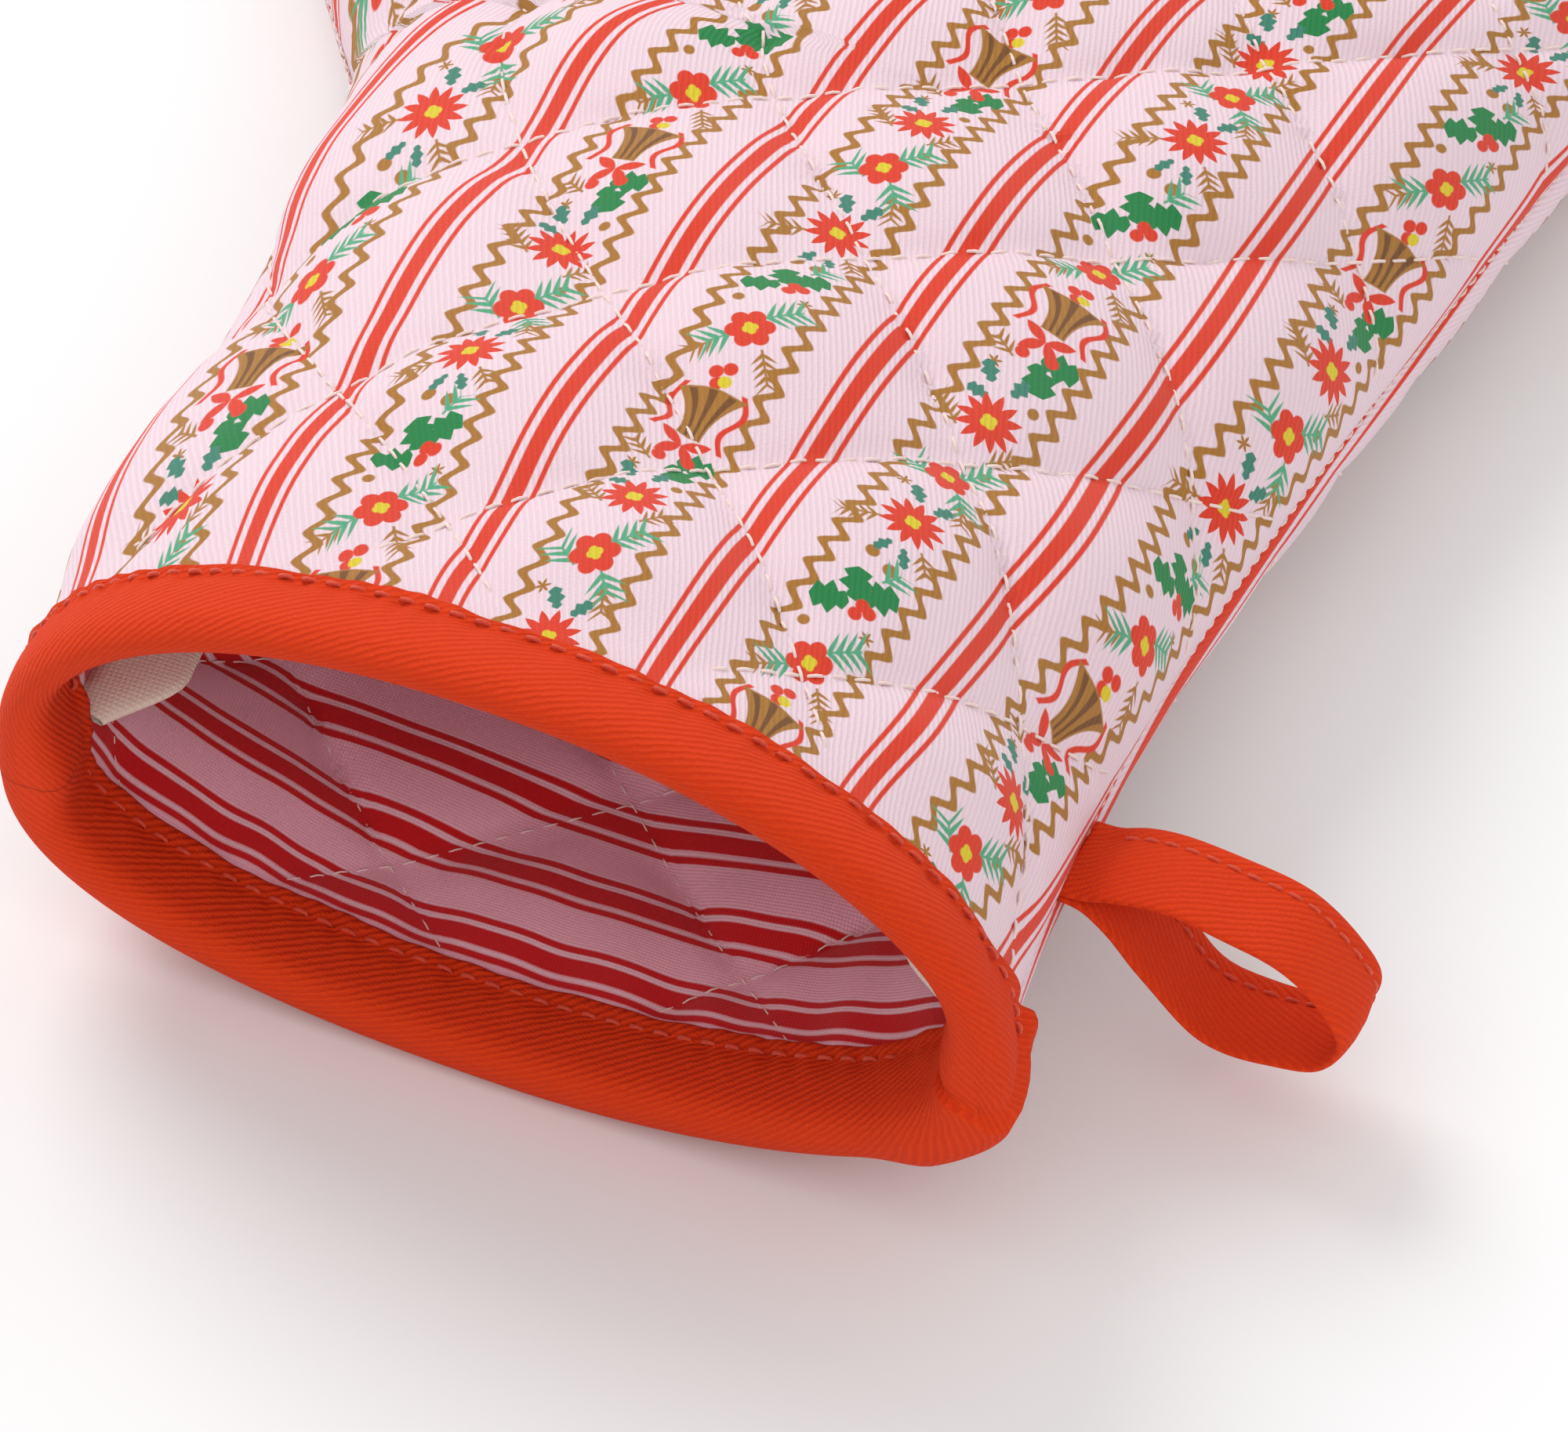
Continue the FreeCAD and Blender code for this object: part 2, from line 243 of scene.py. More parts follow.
class Panel:
    """One quilted half of the mitt as a sheet: places, pattern coordinates and faces."""

    def __init__(self, front):
        self.front = front
        self.power = FRONT_POWER if front else BACK_POWER
        columns = int(ROW_LENGTH / GRID)
        straight = np.arange(0, TIP_START, GRID)
        tip = LENGTH - (LENGTH - TIP_START) * (1 - np.sin(np.linspace(0, math.pi / 2, int(TIP_ARC / GRID))))
        self.rows = np.concatenate([straight, tip[1:]])
        self.base = np.where((self.rows >= BASE_FIRST) & (self.rows <= BASE_LAST))[0]
        points, coords = self.hand(columns)
        hand_count = len(self.rows) * columns
        self.columns = columns
        thumb_points, thumb_coords, thumb_rows = self.thumb(points, coords)
        self.points = np.concatenate([points.reshape(-1, 3), thumb_points.reshape(-1, 3)])
        self.coords = np.concatenate([coords.reshape(-1, 2), thumb_coords.reshape(-1, 2)])
        self.along = self.coords[:, 1].copy()
        if front:
            self.coords += drift(*self.coords.T)
        self.faces = self.make_faces(hand_count, thumb_rows)
        self.neighbours = edges_of(self.faces)
        self.edge = self.border()
        self.smooth_joint()
        self.from_edge = self.edge_distance()
        self.normals = normals_of(self.points, self.faces)
        level = self.normals * (1, 1, 0)
        level /= np.maximum(np.linalg.norm(level, axis=1, keepdims=True), 1e-6)
        share = np.exp(-self.from_edge / 1.5)[:, None]
        self.normals = self.normals * (1 - share) + level * share

    def hand(self, columns):
        height_of = hand_front_height if self.front else hand_back_depth
        points = np.zeros((len(self.rows), columns, 3))
        coords = np.zeros((len(self.rows), columns, 2))
        base_start = np.array([-seam_left_hand(BASE_FIRST), BASE_FIRST])
        base_end = np.array([-seam_left_hand(BASE_LAST), BASE_LAST])
        for i, along in enumerate(self.rows):
            left, right = (float(v) for v in hand_edges(along))
            centre, height = (left + right) / 2, float(height_of(along))
            left_height = 0.0
            if BASE_FIRST < along < BASE_LAST:
                share = (along - BASE_FIRST) / (BASE_LAST - BASE_FIRST)
                left = base_start[0] + (base_end[0] - base_start[0]) * share
                left_height = self.base_height(share)
            right_power = self.power if self.front else float(back_right_power(along))
            x, z, length = arch(left, right, centre, left_height, height, self.power, columns, right_power)
            seam = float(seam_height(along))
            points[i, :, 0] = x
            points[i, :, 1] = along
            points[i, :, 2] = seam + z if self.front else seam - z
            coords[i, :, 0] = PRINT_EDGE - PRINT_TURN * along - (length[-1] - length)
            coords[i, :, 1] = along / PRINT_EASE
        return points, coords

    def base_height(self, share):
        tall = 24.0 if self.front else 18.0
        return tall * max(1 - abs(2 * share - 1) ** 2.1, 0) ** (1 / 2.1)

    def thumb(self, hand_points, hand_coords):
        """Rows that go from the line beside the hand out to the thumb's tip."""
        joint = hand_points[self.base, 0]
        joint_coords = hand_coords[self.base, 0]
        count = len(self.base)
        steps = np.sin(np.linspace(0, math.pi / 2, int(THUMB_ARC / GRID)))[1:]
        points = np.zeros((len(steps), count, 3))
        coords = np.zeros((len(steps), count, 2))
        height_of = thumb_front_height if self.front else thumb_back_depth
        flat_start = joint[0, :2], joint[-1, :2]
        for k, step in enumerate(steps):
            outer_reach = OUTER_START + (THUMB_LENGTH - OUTER_START) * step
            inner_reach = INNER_START + (THUMB_LENGTH - INNER_START) * step
            outer = thumb_edge(outer_reach, -1)
            inner = thumb_edge(inner_reach, 1)
            outer = outer + (flat_start[0] - thumb_edge(OUTER_START, -1)) * (1 - step)
            inner = inner + (flat_start[1] - thumb_edge(INNER_START, 1)) * (1 - step)
            width = float(np.hypot(*(inner - outer)))
            tall = float(height_of(0.5 * outer_reach + 0.5 * inner_reach))
            tall = min(tall, 0.48 * width + 0.3) if k < len(steps) - 1 else SEAM_GAP
            x, z, _ = arch(-width / 2, width / 2, 0.0, 0.0, tall, self.power, count)
            share = (x / width + 0.5)[:, None]
            plan = outer + (inner - outer) * share
            points[k, :, :2] = plan
            seam = seam_height(plan[:, 1])
            points[k, :, 2] = seam + z if self.front else seam - z
            coords[k] = joint_coords + THUMB_EASE * (plan - joint[:, :2])
        return points, coords, len(steps)

    def make_faces(self, hand_count, thumb_rows):
        self.hand_index = np.arange(hand_count).reshape(-1, self.columns)
        count = len(self.base)
        thumb = hand_count + np.arange(thumb_rows * count).reshape(-1, count)
        self.thumb_index = np.concatenate([self.hand_index[self.base, 0][None], thumb])
        faces = np.concatenate([quads(self.hand_index), quads(self.thumb_index)])
        return faces if self.front else faces[:, ::-1]

    def border(self):
        """Marks the points on the seam. The cuff's edge stays free."""
        on_seam = np.zeros(len(self.points), bool)
        hand, thumb = self.hand_index, self.thumb_index
        on_seam[hand[:, -1]] = True
        on_seam[hand[-1]] = True
        inside = np.ones(len(self.rows), bool)
        inside[self.base[1:-1]] = False
        on_seam[hand[inside, 0]] = True
        on_seam[thumb[:, 0]] = True
        on_seam[thumb[:, -1]] = True
        on_seam[thumb[-1]] = True
        return on_seam

    def seam_path(self):
        """The seam's points in order: left side, round the thumb, fingertips, right side."""
        hand, thumb = self.hand_index, self.thumb_index
        first, last = self.base[0], self.base[-1]
        return np.concatenate(
            [
                hand[:first, 0],
                thumb[:, 0],
                thumb[-1, 1:-1],
                thumb[::-1, -1],
                hand[last + 1 :, 0],
                hand[-1, 1:-1],
                hand[::-1, -1],
            ]
        )

    def smooth_joint(self):
        """Blends the hand into the thumb where the two grids meet."""
        joint = self.points[self.hand_index[self.base, 0]].mean(0)
        away = np.hypot(*(self.points[:, :2] - joint[:2]).T)
        weight = (1 - ramp(away, BLEND_FULL, BLEND_END)) * ~self.edge
        weight[self.points[:, 1] < BLEND_FROM] = 0
        a, b = self.neighbours
        count = np.bincount(np.concatenate([a, b]), minlength=len(self.points))[:, None]
        for _ in range(60):
            total = np.zeros_like(self.points)
            np.add.at(total, a, self.points[b])
            np.add.at(total, b, self.points[a])
            self.points += 0.6 * weight[:, None] * (total / count - self.points)

    def edge_distance(self):
        """Rough distance over the cloth from the nearest seam, in mm, up to 18."""
        a, b = self.neighbours
        step = np.linalg.norm(self.points[a] - self.points[b], axis=1)
        far = np.where(self.edge, 0.0, 18.0)
        for _ in range(18):
            np.minimum.at(far, a, far[b] + step)
            np.minimum.at(far, b, far[a] + step)
        return far

    def diamond(self):
        """How far each point is up its quilted diamond: 0 on a stitch line, 1 in the middle."""
        turn = np.linalg.inv(np.array([(QUILT_ACROSS + QUILT_ALONG) / 2, (QUILT_ACROSS - QUILT_ALONG) / 2]).T)
        first, second = turn @ (self.coords - QUILT_ORIGIN).T
        return np.abs(np.sin(math.pi * first) * np.sin(math.pi * second))

    def layer(self, depth, puff, crease=0.0):
        """The sheet set in by depth, with its quilted puffs, leaned back over the open cuff."""
        along = self.along
        calm = ramp(along, 7, 26) * ramp(self.from_edge, 0, 16)
        up = self.diamond() ** (0.55 if puff > 0 else 0.42)
        waves = ripple(self.coords[:, 0], along, 3, 13.0) * (1 - up) * 0.30
        waves += ripple(self.coords[:, 0], along, 5, 42.0) * 0.45
        height = (puff * (up - 0.45) + waves) * calm - depth
        if puff < 0:
            gathers = ripple(self.coords[:, 0], along * 0.25, 8, 10.0)
            gathers *= np.exp(-np.maximum(along - 8, 0) / 16) * ramp(along, 7, 13)
            height += 0.55 * gathers * ramp(self.from_edge, 0, 5)
        height -= crease * np.exp(-self.from_edge / 1.6)
        places = self.points + self.normals * (height + squeeze(self.points) * depth)[:, None]
        places[:, 2] = np.maximum(places[:, 2], depth * 0.98)
        places[self.edge, 2] = self.points[self.edge, 2]
        return lean(places)


def lean(places):
    """Leans the cuff's upper edge towards the open end and moves the cuff to its place."""
    moved = places.copy()
    moved[:, 1] += CUFF_Y - LEAN * places[:, 2] * np.exp(-np.maximum(places[:, 1], 0) / LEAN_REACH)
    return moved


def sides_of(faces):
    return np.concatenate([faces[:, [0, 1]], faces[:, [1, 2]], faces[:, [2, 3]], faces[:, [3, 0]]])


def edges_of(faces):
    """The point numbers at the two ends of each edge, every edge once."""
    pairs = np.unique(np.sort(sides_of(faces), 1), axis=0)
    return pairs[:, 0], pairs[:, 1]


def normals_of(points, faces):
    corner = points[faces]
    across = np.cross(corner[:, 2] - corner[:, 0], corner[:, 3] - corner[:, 1])
    total = np.zeros_like(points)
    for k in range(4):
        np.add.at(total, faces[:, k], across)
    return unit(total)


# ---------------------------------------------------------------- meshes
def add_mesh(name, places, faces, coords=None):
    """A Blender object from places in mm, with pattern coordinates in a UV map, in decimetres."""
    mesh = bpy.data.meshes.new(name)
    mesh.from_pydata((np.asarray(places) * MM).tolist(), [], [list(map(int, f)) for f in faces])
    if coords is not None:
        layer = mesh.uv_layers.new(name="pattern")
        index = np.zeros(len(mesh.loops), np.int32)
        mesh.loops.foreach_get("vertex_index", index)
        layer.data.foreach_set("uv", (np.asarray(coords)[index] / 100).astype(np.float32).ravel())
    mesh.validate()
    mesh.polygons.foreach_set("use_smooth", np.ones(len(mesh.polygons), bool))
    made = bpy.data.objects.new(name, mesh)
    bpy.context.scene.collection.objects.link(made)
    return made


def closed(outside, inside, faces):
    """Points and faces of a sheet with two sides and a rim, from its two sides."""
    count = len(outside)
    pairs = sides_of(faces)
    _, first, times = np.unique(np.sort(pairs, 1), axis=0, return_index=True, return_counts=True)
    rim = pairs[first[times == 1]]
    walls = np.stack([rim[:, 1], rim[:, 0], rim[:, 0] + count, rim[:, 1] + count], -1)
    return np.concatenate([outside, inside]), np.concatenate([faces, faces[:, ::-1] + count, walls])


def add_layer(name, panel, outside, inside):
    """One layer of the wall. Each side is given as depth, puff and crease at the seam."""
    places, faces = closed(panel.layer(*outside), panel.layer(*inside), panel.faces)
    return add_mesh(name, places, faces, np.concatenate([panel.coords, panel.coords]))


def quads(index):
    """The faces between neighbouring rows and columns of a grid of point numbers."""
    a, b, c, d = index[:-1, :-1], index[:-1, 1:], index[1:, 1:], index[1:, :-1]
    return np.stack([a, b, c, d], -1).reshape(-1, 4)


def grid_faces(rows, columns, round_rows=False, round_columns=False):
    """Faces of a grid. A round one joins its last row or column to its first."""
    index = np.arange(rows * columns).reshape(rows, columns)
    if round_rows:
        index = np.concatenate([index, index[:1]])
    if round_columns:
        index = np.concatenate([index, index[:, :1]], axis=1)
    return quads(index)


def resample(points, step, values=None):
    """Points about step apart along the line, or values given at its points, at the same places."""
    points = np.asarray(points, float)
    length = distance_along(points)
    even = np.linspace(0, length[-1], max(int(round(length[-1] / step)), 2) + 1)
    values = points if values is None else np.asarray(values)
    return np.stack([np.interp(even, length, values[:, k]) for k in range(3)], -1)


def smooth_line(points, share=0.5, rounds=20, loop=False):
    points = points.copy()
    for _ in range(rounds):
        middle = (np.roll(points, 1, 0) + np.roll(points, -1, 0)) / 2
        if not loop:
            middle[0], middle[-1] = points[0], points[-1]
        points += share * (middle - points)
    return points


# ---------------------------------------------------------------- the three layers
front, back = Panel(True), Panel(False)

LAYERS = {
    "outer_panel": ((0.0, PUFF, 1.3), (0.6, PUFF, 1.3)),
    "batting": ((0.9, PUFF, 2.0), (3.9, LINING_PUFF, 0.0)),
    "lining": ((4.1, LINING_PUFF, 0.0), (WALL, LINING_PUFF, 0.0)),
}
sheets = {}
for side, panel in (("front", front), ("back", back)):
    for layer, (outside, inside) in LAYERS.items():
        sheets[f"{side}_{layer}"] = add_layer(f"{side}_{layer}_cloth", panel, outside, inside)


# ---------------------------------------------------------------- stitches
# Rings of one bead of thread: share of its length, lift over the cloth, size.
STITCH_RINGS = [
    (0.0, -0.25, 0.35),
    (0.12, 0.08, 0.95),
    (0.5, 0.22, 1.0),
    (0.88, 0.08, 0.95),
    (1.0, -0.25, 0.35),
]
STITCH_CAPS = [[0, 1, 2, 3], [0, 3, 4, 5], [24, 27, 26, 25], [24, 29, 28, 27]]


def add_stitches(name, starts, ends, normals, radius, sink):
    """A short bead of thread for each stitch, its ends dipping into the cloth."""
    starts, ends, normals = (np.asarray(v, float) for v in (starts, ends, normals))
    radius, sink = (np.broadcast_to(v, len(starts))[:, None] for v in (radius, sink))
    along = ends - starts
    side = unit(np.cross(along, normals))
    rings = []
    for share, lift, size in STITCH_RINGS:
        centre = starts + along * share + normals * (lift - sink)
        for turn in np.arange(6) * math.pi / 3:
            spoke = side * math.cos(turn) + normals * math.sin(turn)
            rings.append(centre + spoke * radius * size)
    points = np.stack(rings, 1)
    one = np.concatenate([grid_faces(len(STITCH_RINGS), 6, round_columns=True), STITCH_CAPS])
    offsets = np.arange(len(starts))[:, None, None] * 30
    return add_mesh(name, points.reshape(-1, 3), (one[None] + offsets).reshape(-1, 4))


def stitches_along(line, normals, pitch, share):
    """Starts, ends and normals of even stitches along one line."""
    fine = resample(line, 0.5)
    upright = unit(resample(line, 0.5, normals))
    step = int(round(pitch / 0.5))
    reach = int(round(pitch * share / 0.5))
    at = np.arange(0, len(fine) - reach, step)
    return fine[at], fine[at + reach], upright[at + reach // 2]


def joined(runs):
    """One set of starts, ends and normals from several runs of stitches."""
    return [np.concatenate(values) for values in zip(*runs)]


# ---------------------------------------------------------------- round the cuff
# Points on each half of a line round the cuff.
RIM_POINTS = 900


def rim_line(along, offset):
    """The closed line round the cuff at one distance from its edge, offset outward, with its
    outward directions. It isn't leaned yet.
    """
    at = max(along, 0.0)
    left, right = (float(v) for v in hand_edges(at))
    centre, seam = (left + right) / 2, float(seam_height(at))
    rise, depth = float(hand_front_height(at)), float(hand_back_depth(at))
    over_x, over_z, _ = arch(left, right, centre, 0.0, rise, FRONT_POWER, RIM_POINTS)
    under_x, under_z, _ = arch(left, right, centre, 0.0, depth, BACK_POWER, RIM_POINTS, BACK_RIGHT_POWER)
    x = np.concatenate([over_x, under_x[-2:0:-1]])
    z = np.concatenate([seam + over_z, seam - under_z[-2:0:-1]])
    flow = unit(np.stack([np.roll(x, -1) - np.roll(x, 1), np.roll(z, -1) - np.roll(z, 1)], -1))
    for _ in range(6):
        flow = (flow + np.roll(flow, 1, 0) + np.roll(flow, -1, 0)) / 3
    flow = unit(flow)
    offset = np.broadcast_to(offset, x.shape)
    x = x - flow[:, 1] * offset
    z = z + flow[:, 0] * offset
    places = np.stack([x, np.full_like(x, along), z], -1)
    outward = np.stack([-flow[:, 1], np.zeros_like(x), flow[:, 0]], -1)
    return places, outward


# The binding's last end makes a collar over its first, low on the loop's side.
OVERLAP_LOW, OVERLAP_HIGH, OVERLAP_FROM = 13.0, 25.0, 46.0
OVERLAP_RISE = 1.1
STITCH_LINE = 8.2
# The cloth gathered in the cuff's two corners pushes the binding's inner face inward.
CORNER_HEIGHT, CORNER_GATHER = 28.0, 1.8
# The binding's fold, seen end on: distance from the cuff's edge, height over the outer cloth.
BINDING_FOLD = [
    (10.5, 0.25), (10.45, 0.75), (10.0, 1.05), (9.1, 0.85), (8.2, 0.62), (7.3, 0.9),
    (6.0, 1.2), (4.5, 1.35), (3.0, 1.4), (1.6, 1.35), (0.3, 1.05), (-0.8, 0.3),
    (-1.5, -0.9), (-1.7, -2.3), (-1.5, -3.7), (-0.8, -4.9), (0.3, -5.6), (1.6, -5.8),
    (3.0, -5.85), (4.5, -5.85), (6.0, -5.75), (7.3, -5.5), (8.2, -5.25), (9.1, -5.5),
    (10.0, -5.6), (10.5, -5.2), (10.5, -4.7),
]
BINDING_UNDER = [(9.0, -4.9), (1.5, -5.0), (0.3, -2.3), (1.5, 0.4), (9.0, 0.3)]


def binding_lap(base, slant):
    """How far each point is into the double stretch, and into the dent above that stretch."""
    near = ramp(base[:, 0], OVERLAP_FROM - 2, OVERLAP_FROM + 8)
    height = base[:, 2] - slant
    lap = ramp(base[:, 2], OVERLAP_LOW - 7.0, OVERLAP_LOW + 2.0)
    lap = lap * (1 - ramp(height, OVERLAP_HIGH - 0.9, OVERLAP_HIGH + 0.6)) * near
    dent = np.exp(-(((height - OVERLAP_HIGH - 1.4) / 1.6) ** 2)) * near
    return lap, dent


def binding_relief(length, along):
    """The puckers beside the stitches and the dents of the stitches, in mm outward."""
    wander = 3 * ripple(length, 0 * length, 11, 40)
    pucker = 0.16 * np.sin(2 * math.pi * (length + wander) / 5.6)
    pucker += 0.12 * ripple(length, np.full_like(length, along), 12, 9.0)
    stitched = 0.10 * np.cos(2 * math.pi * length / 3.0) * math.exp(-((along - STITCH_LINE) ** 2))
    return pucker * math.exp(-(((along - 8.6) / 3.2) ** 2)) + stitched


def binding_ring(along, height, live):
    """One line of the fold round the cuff, and each point's distance round. Live is 0 under the cloth."""
    base, _ = rim_line(along, 0.0)
    length = distance_along(base)
    outer = height > -1.5
    facing = 1.0 if outer else -1.0
    slant = 0.5 * max(along, 0.0) * (1.0 if outer else 0.2)
    lap, dent = binding_lap(base, slant)
    gripped = grip(base[:, 2])
    corner = np.exp(-(((base[:, 2] - CORNER_HEIGHT) / 8.0) ** 2))
    rise = height * (1 - gripped) if height < 0 else height
    gathered = CORNER_GATHER * corner * (rise < -2.6) * live
    rise = rise + facing * live * binding_relief(length, along)
    rise = rise + (lap * OVERLAP_RISE - dent * 0.5) * live * facing * (1.0 if outer else 0.5)
    ring, _ = rim_line(along, rise - gathered)
    if along > 5:
        ring[:, 1] -= (along - 5) * 0.45 * gripped
    edge_wave = 0.25 * ripple(length, 0 * length, 14, 18.0) * (along > 9.5)
    ring[:, 1] += edge_wave - lap * live * (1.0 if along < 0.5 else -0.6)
    return ring, length


def make_binding_cloth():
    """The red strip folded over the cuff's edge, its last end laid over its first."""
    fold = BINDING_FOLD + BINDING_UNDER
    rings, coords = [], []
    for k, ((along, height), strip) in enumerate(zip(fold, distance_along(fold))):
        ring, length = binding_ring(along, height, 1.0 if k < len(BINDING_FOLD) else 0.0)
        rings.append(ring)
        coords.append(np.stack([length, np.full_like(length, strip)], -1))
    rings, coords = np.array(rings), np.array(coords)
    places = lean(rings.reshape(-1, 3))
    places[:, 2] = np.maximum(places[:, 2], 0.0)
    faces = grid_faces(len(fold), rings.shape[1], True, True)[:, ::-1]
    return add_mesh("cuff_binding_cloth", places, faces, coords.reshape(-1, 2))


def make_binding_thread():
    """A run of stitches outside and one inside. The collar hides both where it lies."""
    runs = []
    for height, facing in ((0.78, 1.0), (-5.4, -1.0)):
        line, outward = rim_line(STITCH_LINE, height)
        lap = (line[:, 2] > OVERLAP_LOW) & (line[:, 2] < OVERLAP_HIGH) & (line[:, 0] > OVERLAP_FROM)
        line, outward = line[~lap], outward[~lap]
        start = int(np.argmax(np.linalg.norm(line - np.roll(line, 1, 0), axis=1)))
        line, outward = np.roll(line, -start, 0), np.roll(outward, -start, 0)
        found = stitches_along(lean(line), outward * facing, 3.0, 0.72)
        above_table = found[0][:, 2] > 0.9
        runs.append([value[above_table] for value in found])
    return add_stitches("cuff_stitches", *joined(runs), 0.26, 0.02)


binding = make_binding_cloth()
binding_thread = make_binding_thread()


# ---------------------------------------------------------------- side seam and its tape
def seam_line(depth):
    """The seam set in by depth, level, with its inward directions. Both mm, before the lean."""
    line = resample(smooth_line(front.points[front.seam_path()], 0.5, 4), 1.5)
    flow = unit(np.gradient(line[:, :2], axis=0))
    inward = np.stack([flow[:, 1], -flow[:, 0]], -1)
    for _ in range(4):
        inward[1:-1] = (inward[:-2] + inward[1:-1] + inward[2:]) / 3
    inward = unit(inward)
    line[:, :2] += inward * depth
    return line, np.column_stack([inward, np.zeros(len(line))])


def make_seam_thread():
    """The seam's stitches, down in the crease between the two printed panels."""
    line, inward = seam_line(1.15)
    keep = line[:, 1] > 11
    found = stitches_along(lean(line[keep]), -inward[keep], 2.6, 0.7)
    return add_stitches("side_seam_stitches", *found, 0.2, 0.1)


# The tape's section, seen end on: share of its width, height over its middle in mm.
TAPE_SECTION = [
    (0, 0.45), (0.25, 0.5), (0.6, 0.5), (0.93, 0.5), (1.0, 0.2),
    (1.0, -0.2), (0.93, -0.5), (0.6, -0.5), (0.25, -0.5), (0, -0.45),
]


def make_seam_tape():
    """The cream tape round the seam allowances. It stands level inside the mitt."""
    line, inward = seam_line(WALL - 0.3)
    keep = line[:, 1] > 10.6
    line, inward = line[keep], inward[keep]
    length = distance_along(line)
    width = 2.0 + 9.0 * ramp(line[:, 1], 8, 20)
    wave = 0.5 * ripple(length, 0 * length, 21, 26.0)
    rows, coords = [], []
    for share, height in TAPE_SECTION:
        place = line + inward * (width * share)[:, None]
        place[:, 2] += height + wave * share - 1.4 * share**2
        rows.append(place)
        coords.append(np.stack([length, width * share], -1))
    faces = grid_faces(len(TAPE_SECTION), len(line), True)
    places = lean(np.array(rows).reshape(-1, 3))
    return add_mesh("seam_tape_cloth", places, faces, np.array(coords).reshape(-1, 2))


seam_thread = make_seam_thread()
seam_tape = make_seam_tape()


# ---------------------------------------------------------------- quilting
class Finder:
    """Finds the place and normal on a panel's surface for any pattern coordinates."""

    def __init__(self, panel, places):
        flat = [(float(u), float(v), 0.0) for u, v in panel.coords]
        self.faces = np.concatenate([panel.faces[:, [0, 1, 2]], panel.faces[:, [0, 2, 3]]])
        self.tree = BVHTree.FromPolygons(flat, self.faces.tolist())
        self.flat, self.places = np.array(flat), places
        self.normals = normals_of(places, panel.faces)
        self.inside = panel.from_edge > 2.0

    def at(self, u, v):
        spot, _, index, away = self.tree.find_nearest((float(u), float(v), 0.0))
        if spot is None or away > 0.3:
            return None
        corners = self.faces[index]
        a, b, c = self.flat[corners][:, :2]
        share = np.linalg.solve(np.array([b - a, c - a]).T + np.eye(2) * 1e-9, np.array(spot[:2]) - a)
        weights = np.array([1 - share.sum(), *share])
        if not self.inside[corners].all() or weights.min() < -0.05:
            return None
        return weights @ self.places[corners], weights @ self.normals[corners]


# One stitch starts every QUILT_PITCH mm and is QUILT_STITCH mm long.
QUILT_PITCH, QUILT_STITCH = 3.1, 2.35


def make_quilting(name, panel):
    """A stitch wherever a quilting line runs over the panel, on the print and on the lining."""
    starts, ends, normals, inner = [], [], [], []
    half = [(QUILT_ACROSS + QUILT_ALONG) / 2, (QUILT_ACROSS - QUILT_ALONG) / 2]
    for depth, puff, facing in ((0.0, PUFF, 1.0), (WALL, LINING_PUFF, -1.0)):
        finder = Finder(panel, panel.layer(depth, puff, 1.3 if facing > 0 else 0.0))
        for way, other in (half, half[::-1]):
            length = float(np.hypot(*way))
            count = int(12 * length / QUILT_PITCH)
            for index, k in itertools.product(range(-12, 13), range(-count, count)):
                first = QUILT_ORIGIN + other * index + way * (k * QUILT_PITCH / length)
                if not (-130 < first[0] < 90 and 9 < first[1] < 340):
                    continue
                begin, end = finder.at(*first), finder.at(*(first + way * (QUILT_STITCH / length)))
                if begin is None or end is None or begin[0][1] < CUFF_Y + 10.8:
                    continue
                starts.append(begin[0])
                ends.append(end[0])
                normals.append(begin[1] * facing)
                inner.append(facing < 0)
    inner = np.array(inner)
    return add_stitches(name, starts, ends, normals, np.where(inner, 0.11, 0.22), np.where(inner, 0.14, 0.06))


front_quilting = make_quilting("front_quilting_stitches", front)
back_quilting = make_quilting("back_quilting_stitches", back)


# ---------------------------------------------------------------- hanging loop
LOOP_PATH = [
    (-3.0, 0.5), (0.0, 0.75), (2.6, 1.9), (8.5, 3.2), (16.5, 2.4),
    (23.5, 0.0), (28.5, -4.5), (31.0, -10.4), (28.6, -14.6), (22.5, -16.0),
    (14.5, -15.4), (7.6, -8.0), (2.6, -2.4), (0.0, -0.75), (-3.0, -0.5),
]
LOOP_WIDTH = 12.0
LOOP_START = 28.8
LOOP_ROOT = (58.2, 26.4)


def loop_line():
    """The tape's centre line from the seam round the eye and back, with its outward directions."""
    path = np.array([(x, 0.0, z) for x, z in LOOP_PATH])
    length = distance_along(path)
    fine = np.linspace(0, length[-1], 220)
    across, up = curve(list(zip(length, path[:, 0]))), curve(list(zip(length, path[:, 2])))
    line = np.stack([across(fine), np.zeros_like(fine), up(fine)], -1)
    line = smooth_line(line, 0.5, 6)
    flow = np.gradient(line, axis=0)
    flow /= np.linalg.norm(flow, axis=1, keepdims=True)
    outward = np.stack([-flow[:, 2], np.zeros(len(fine)), flow[:, 0]], -1)
    line[:, 0] += LOOP_ROOT[0]
    line[:, 2] += LOOP_ROOT[1]
    return line, outward, fine


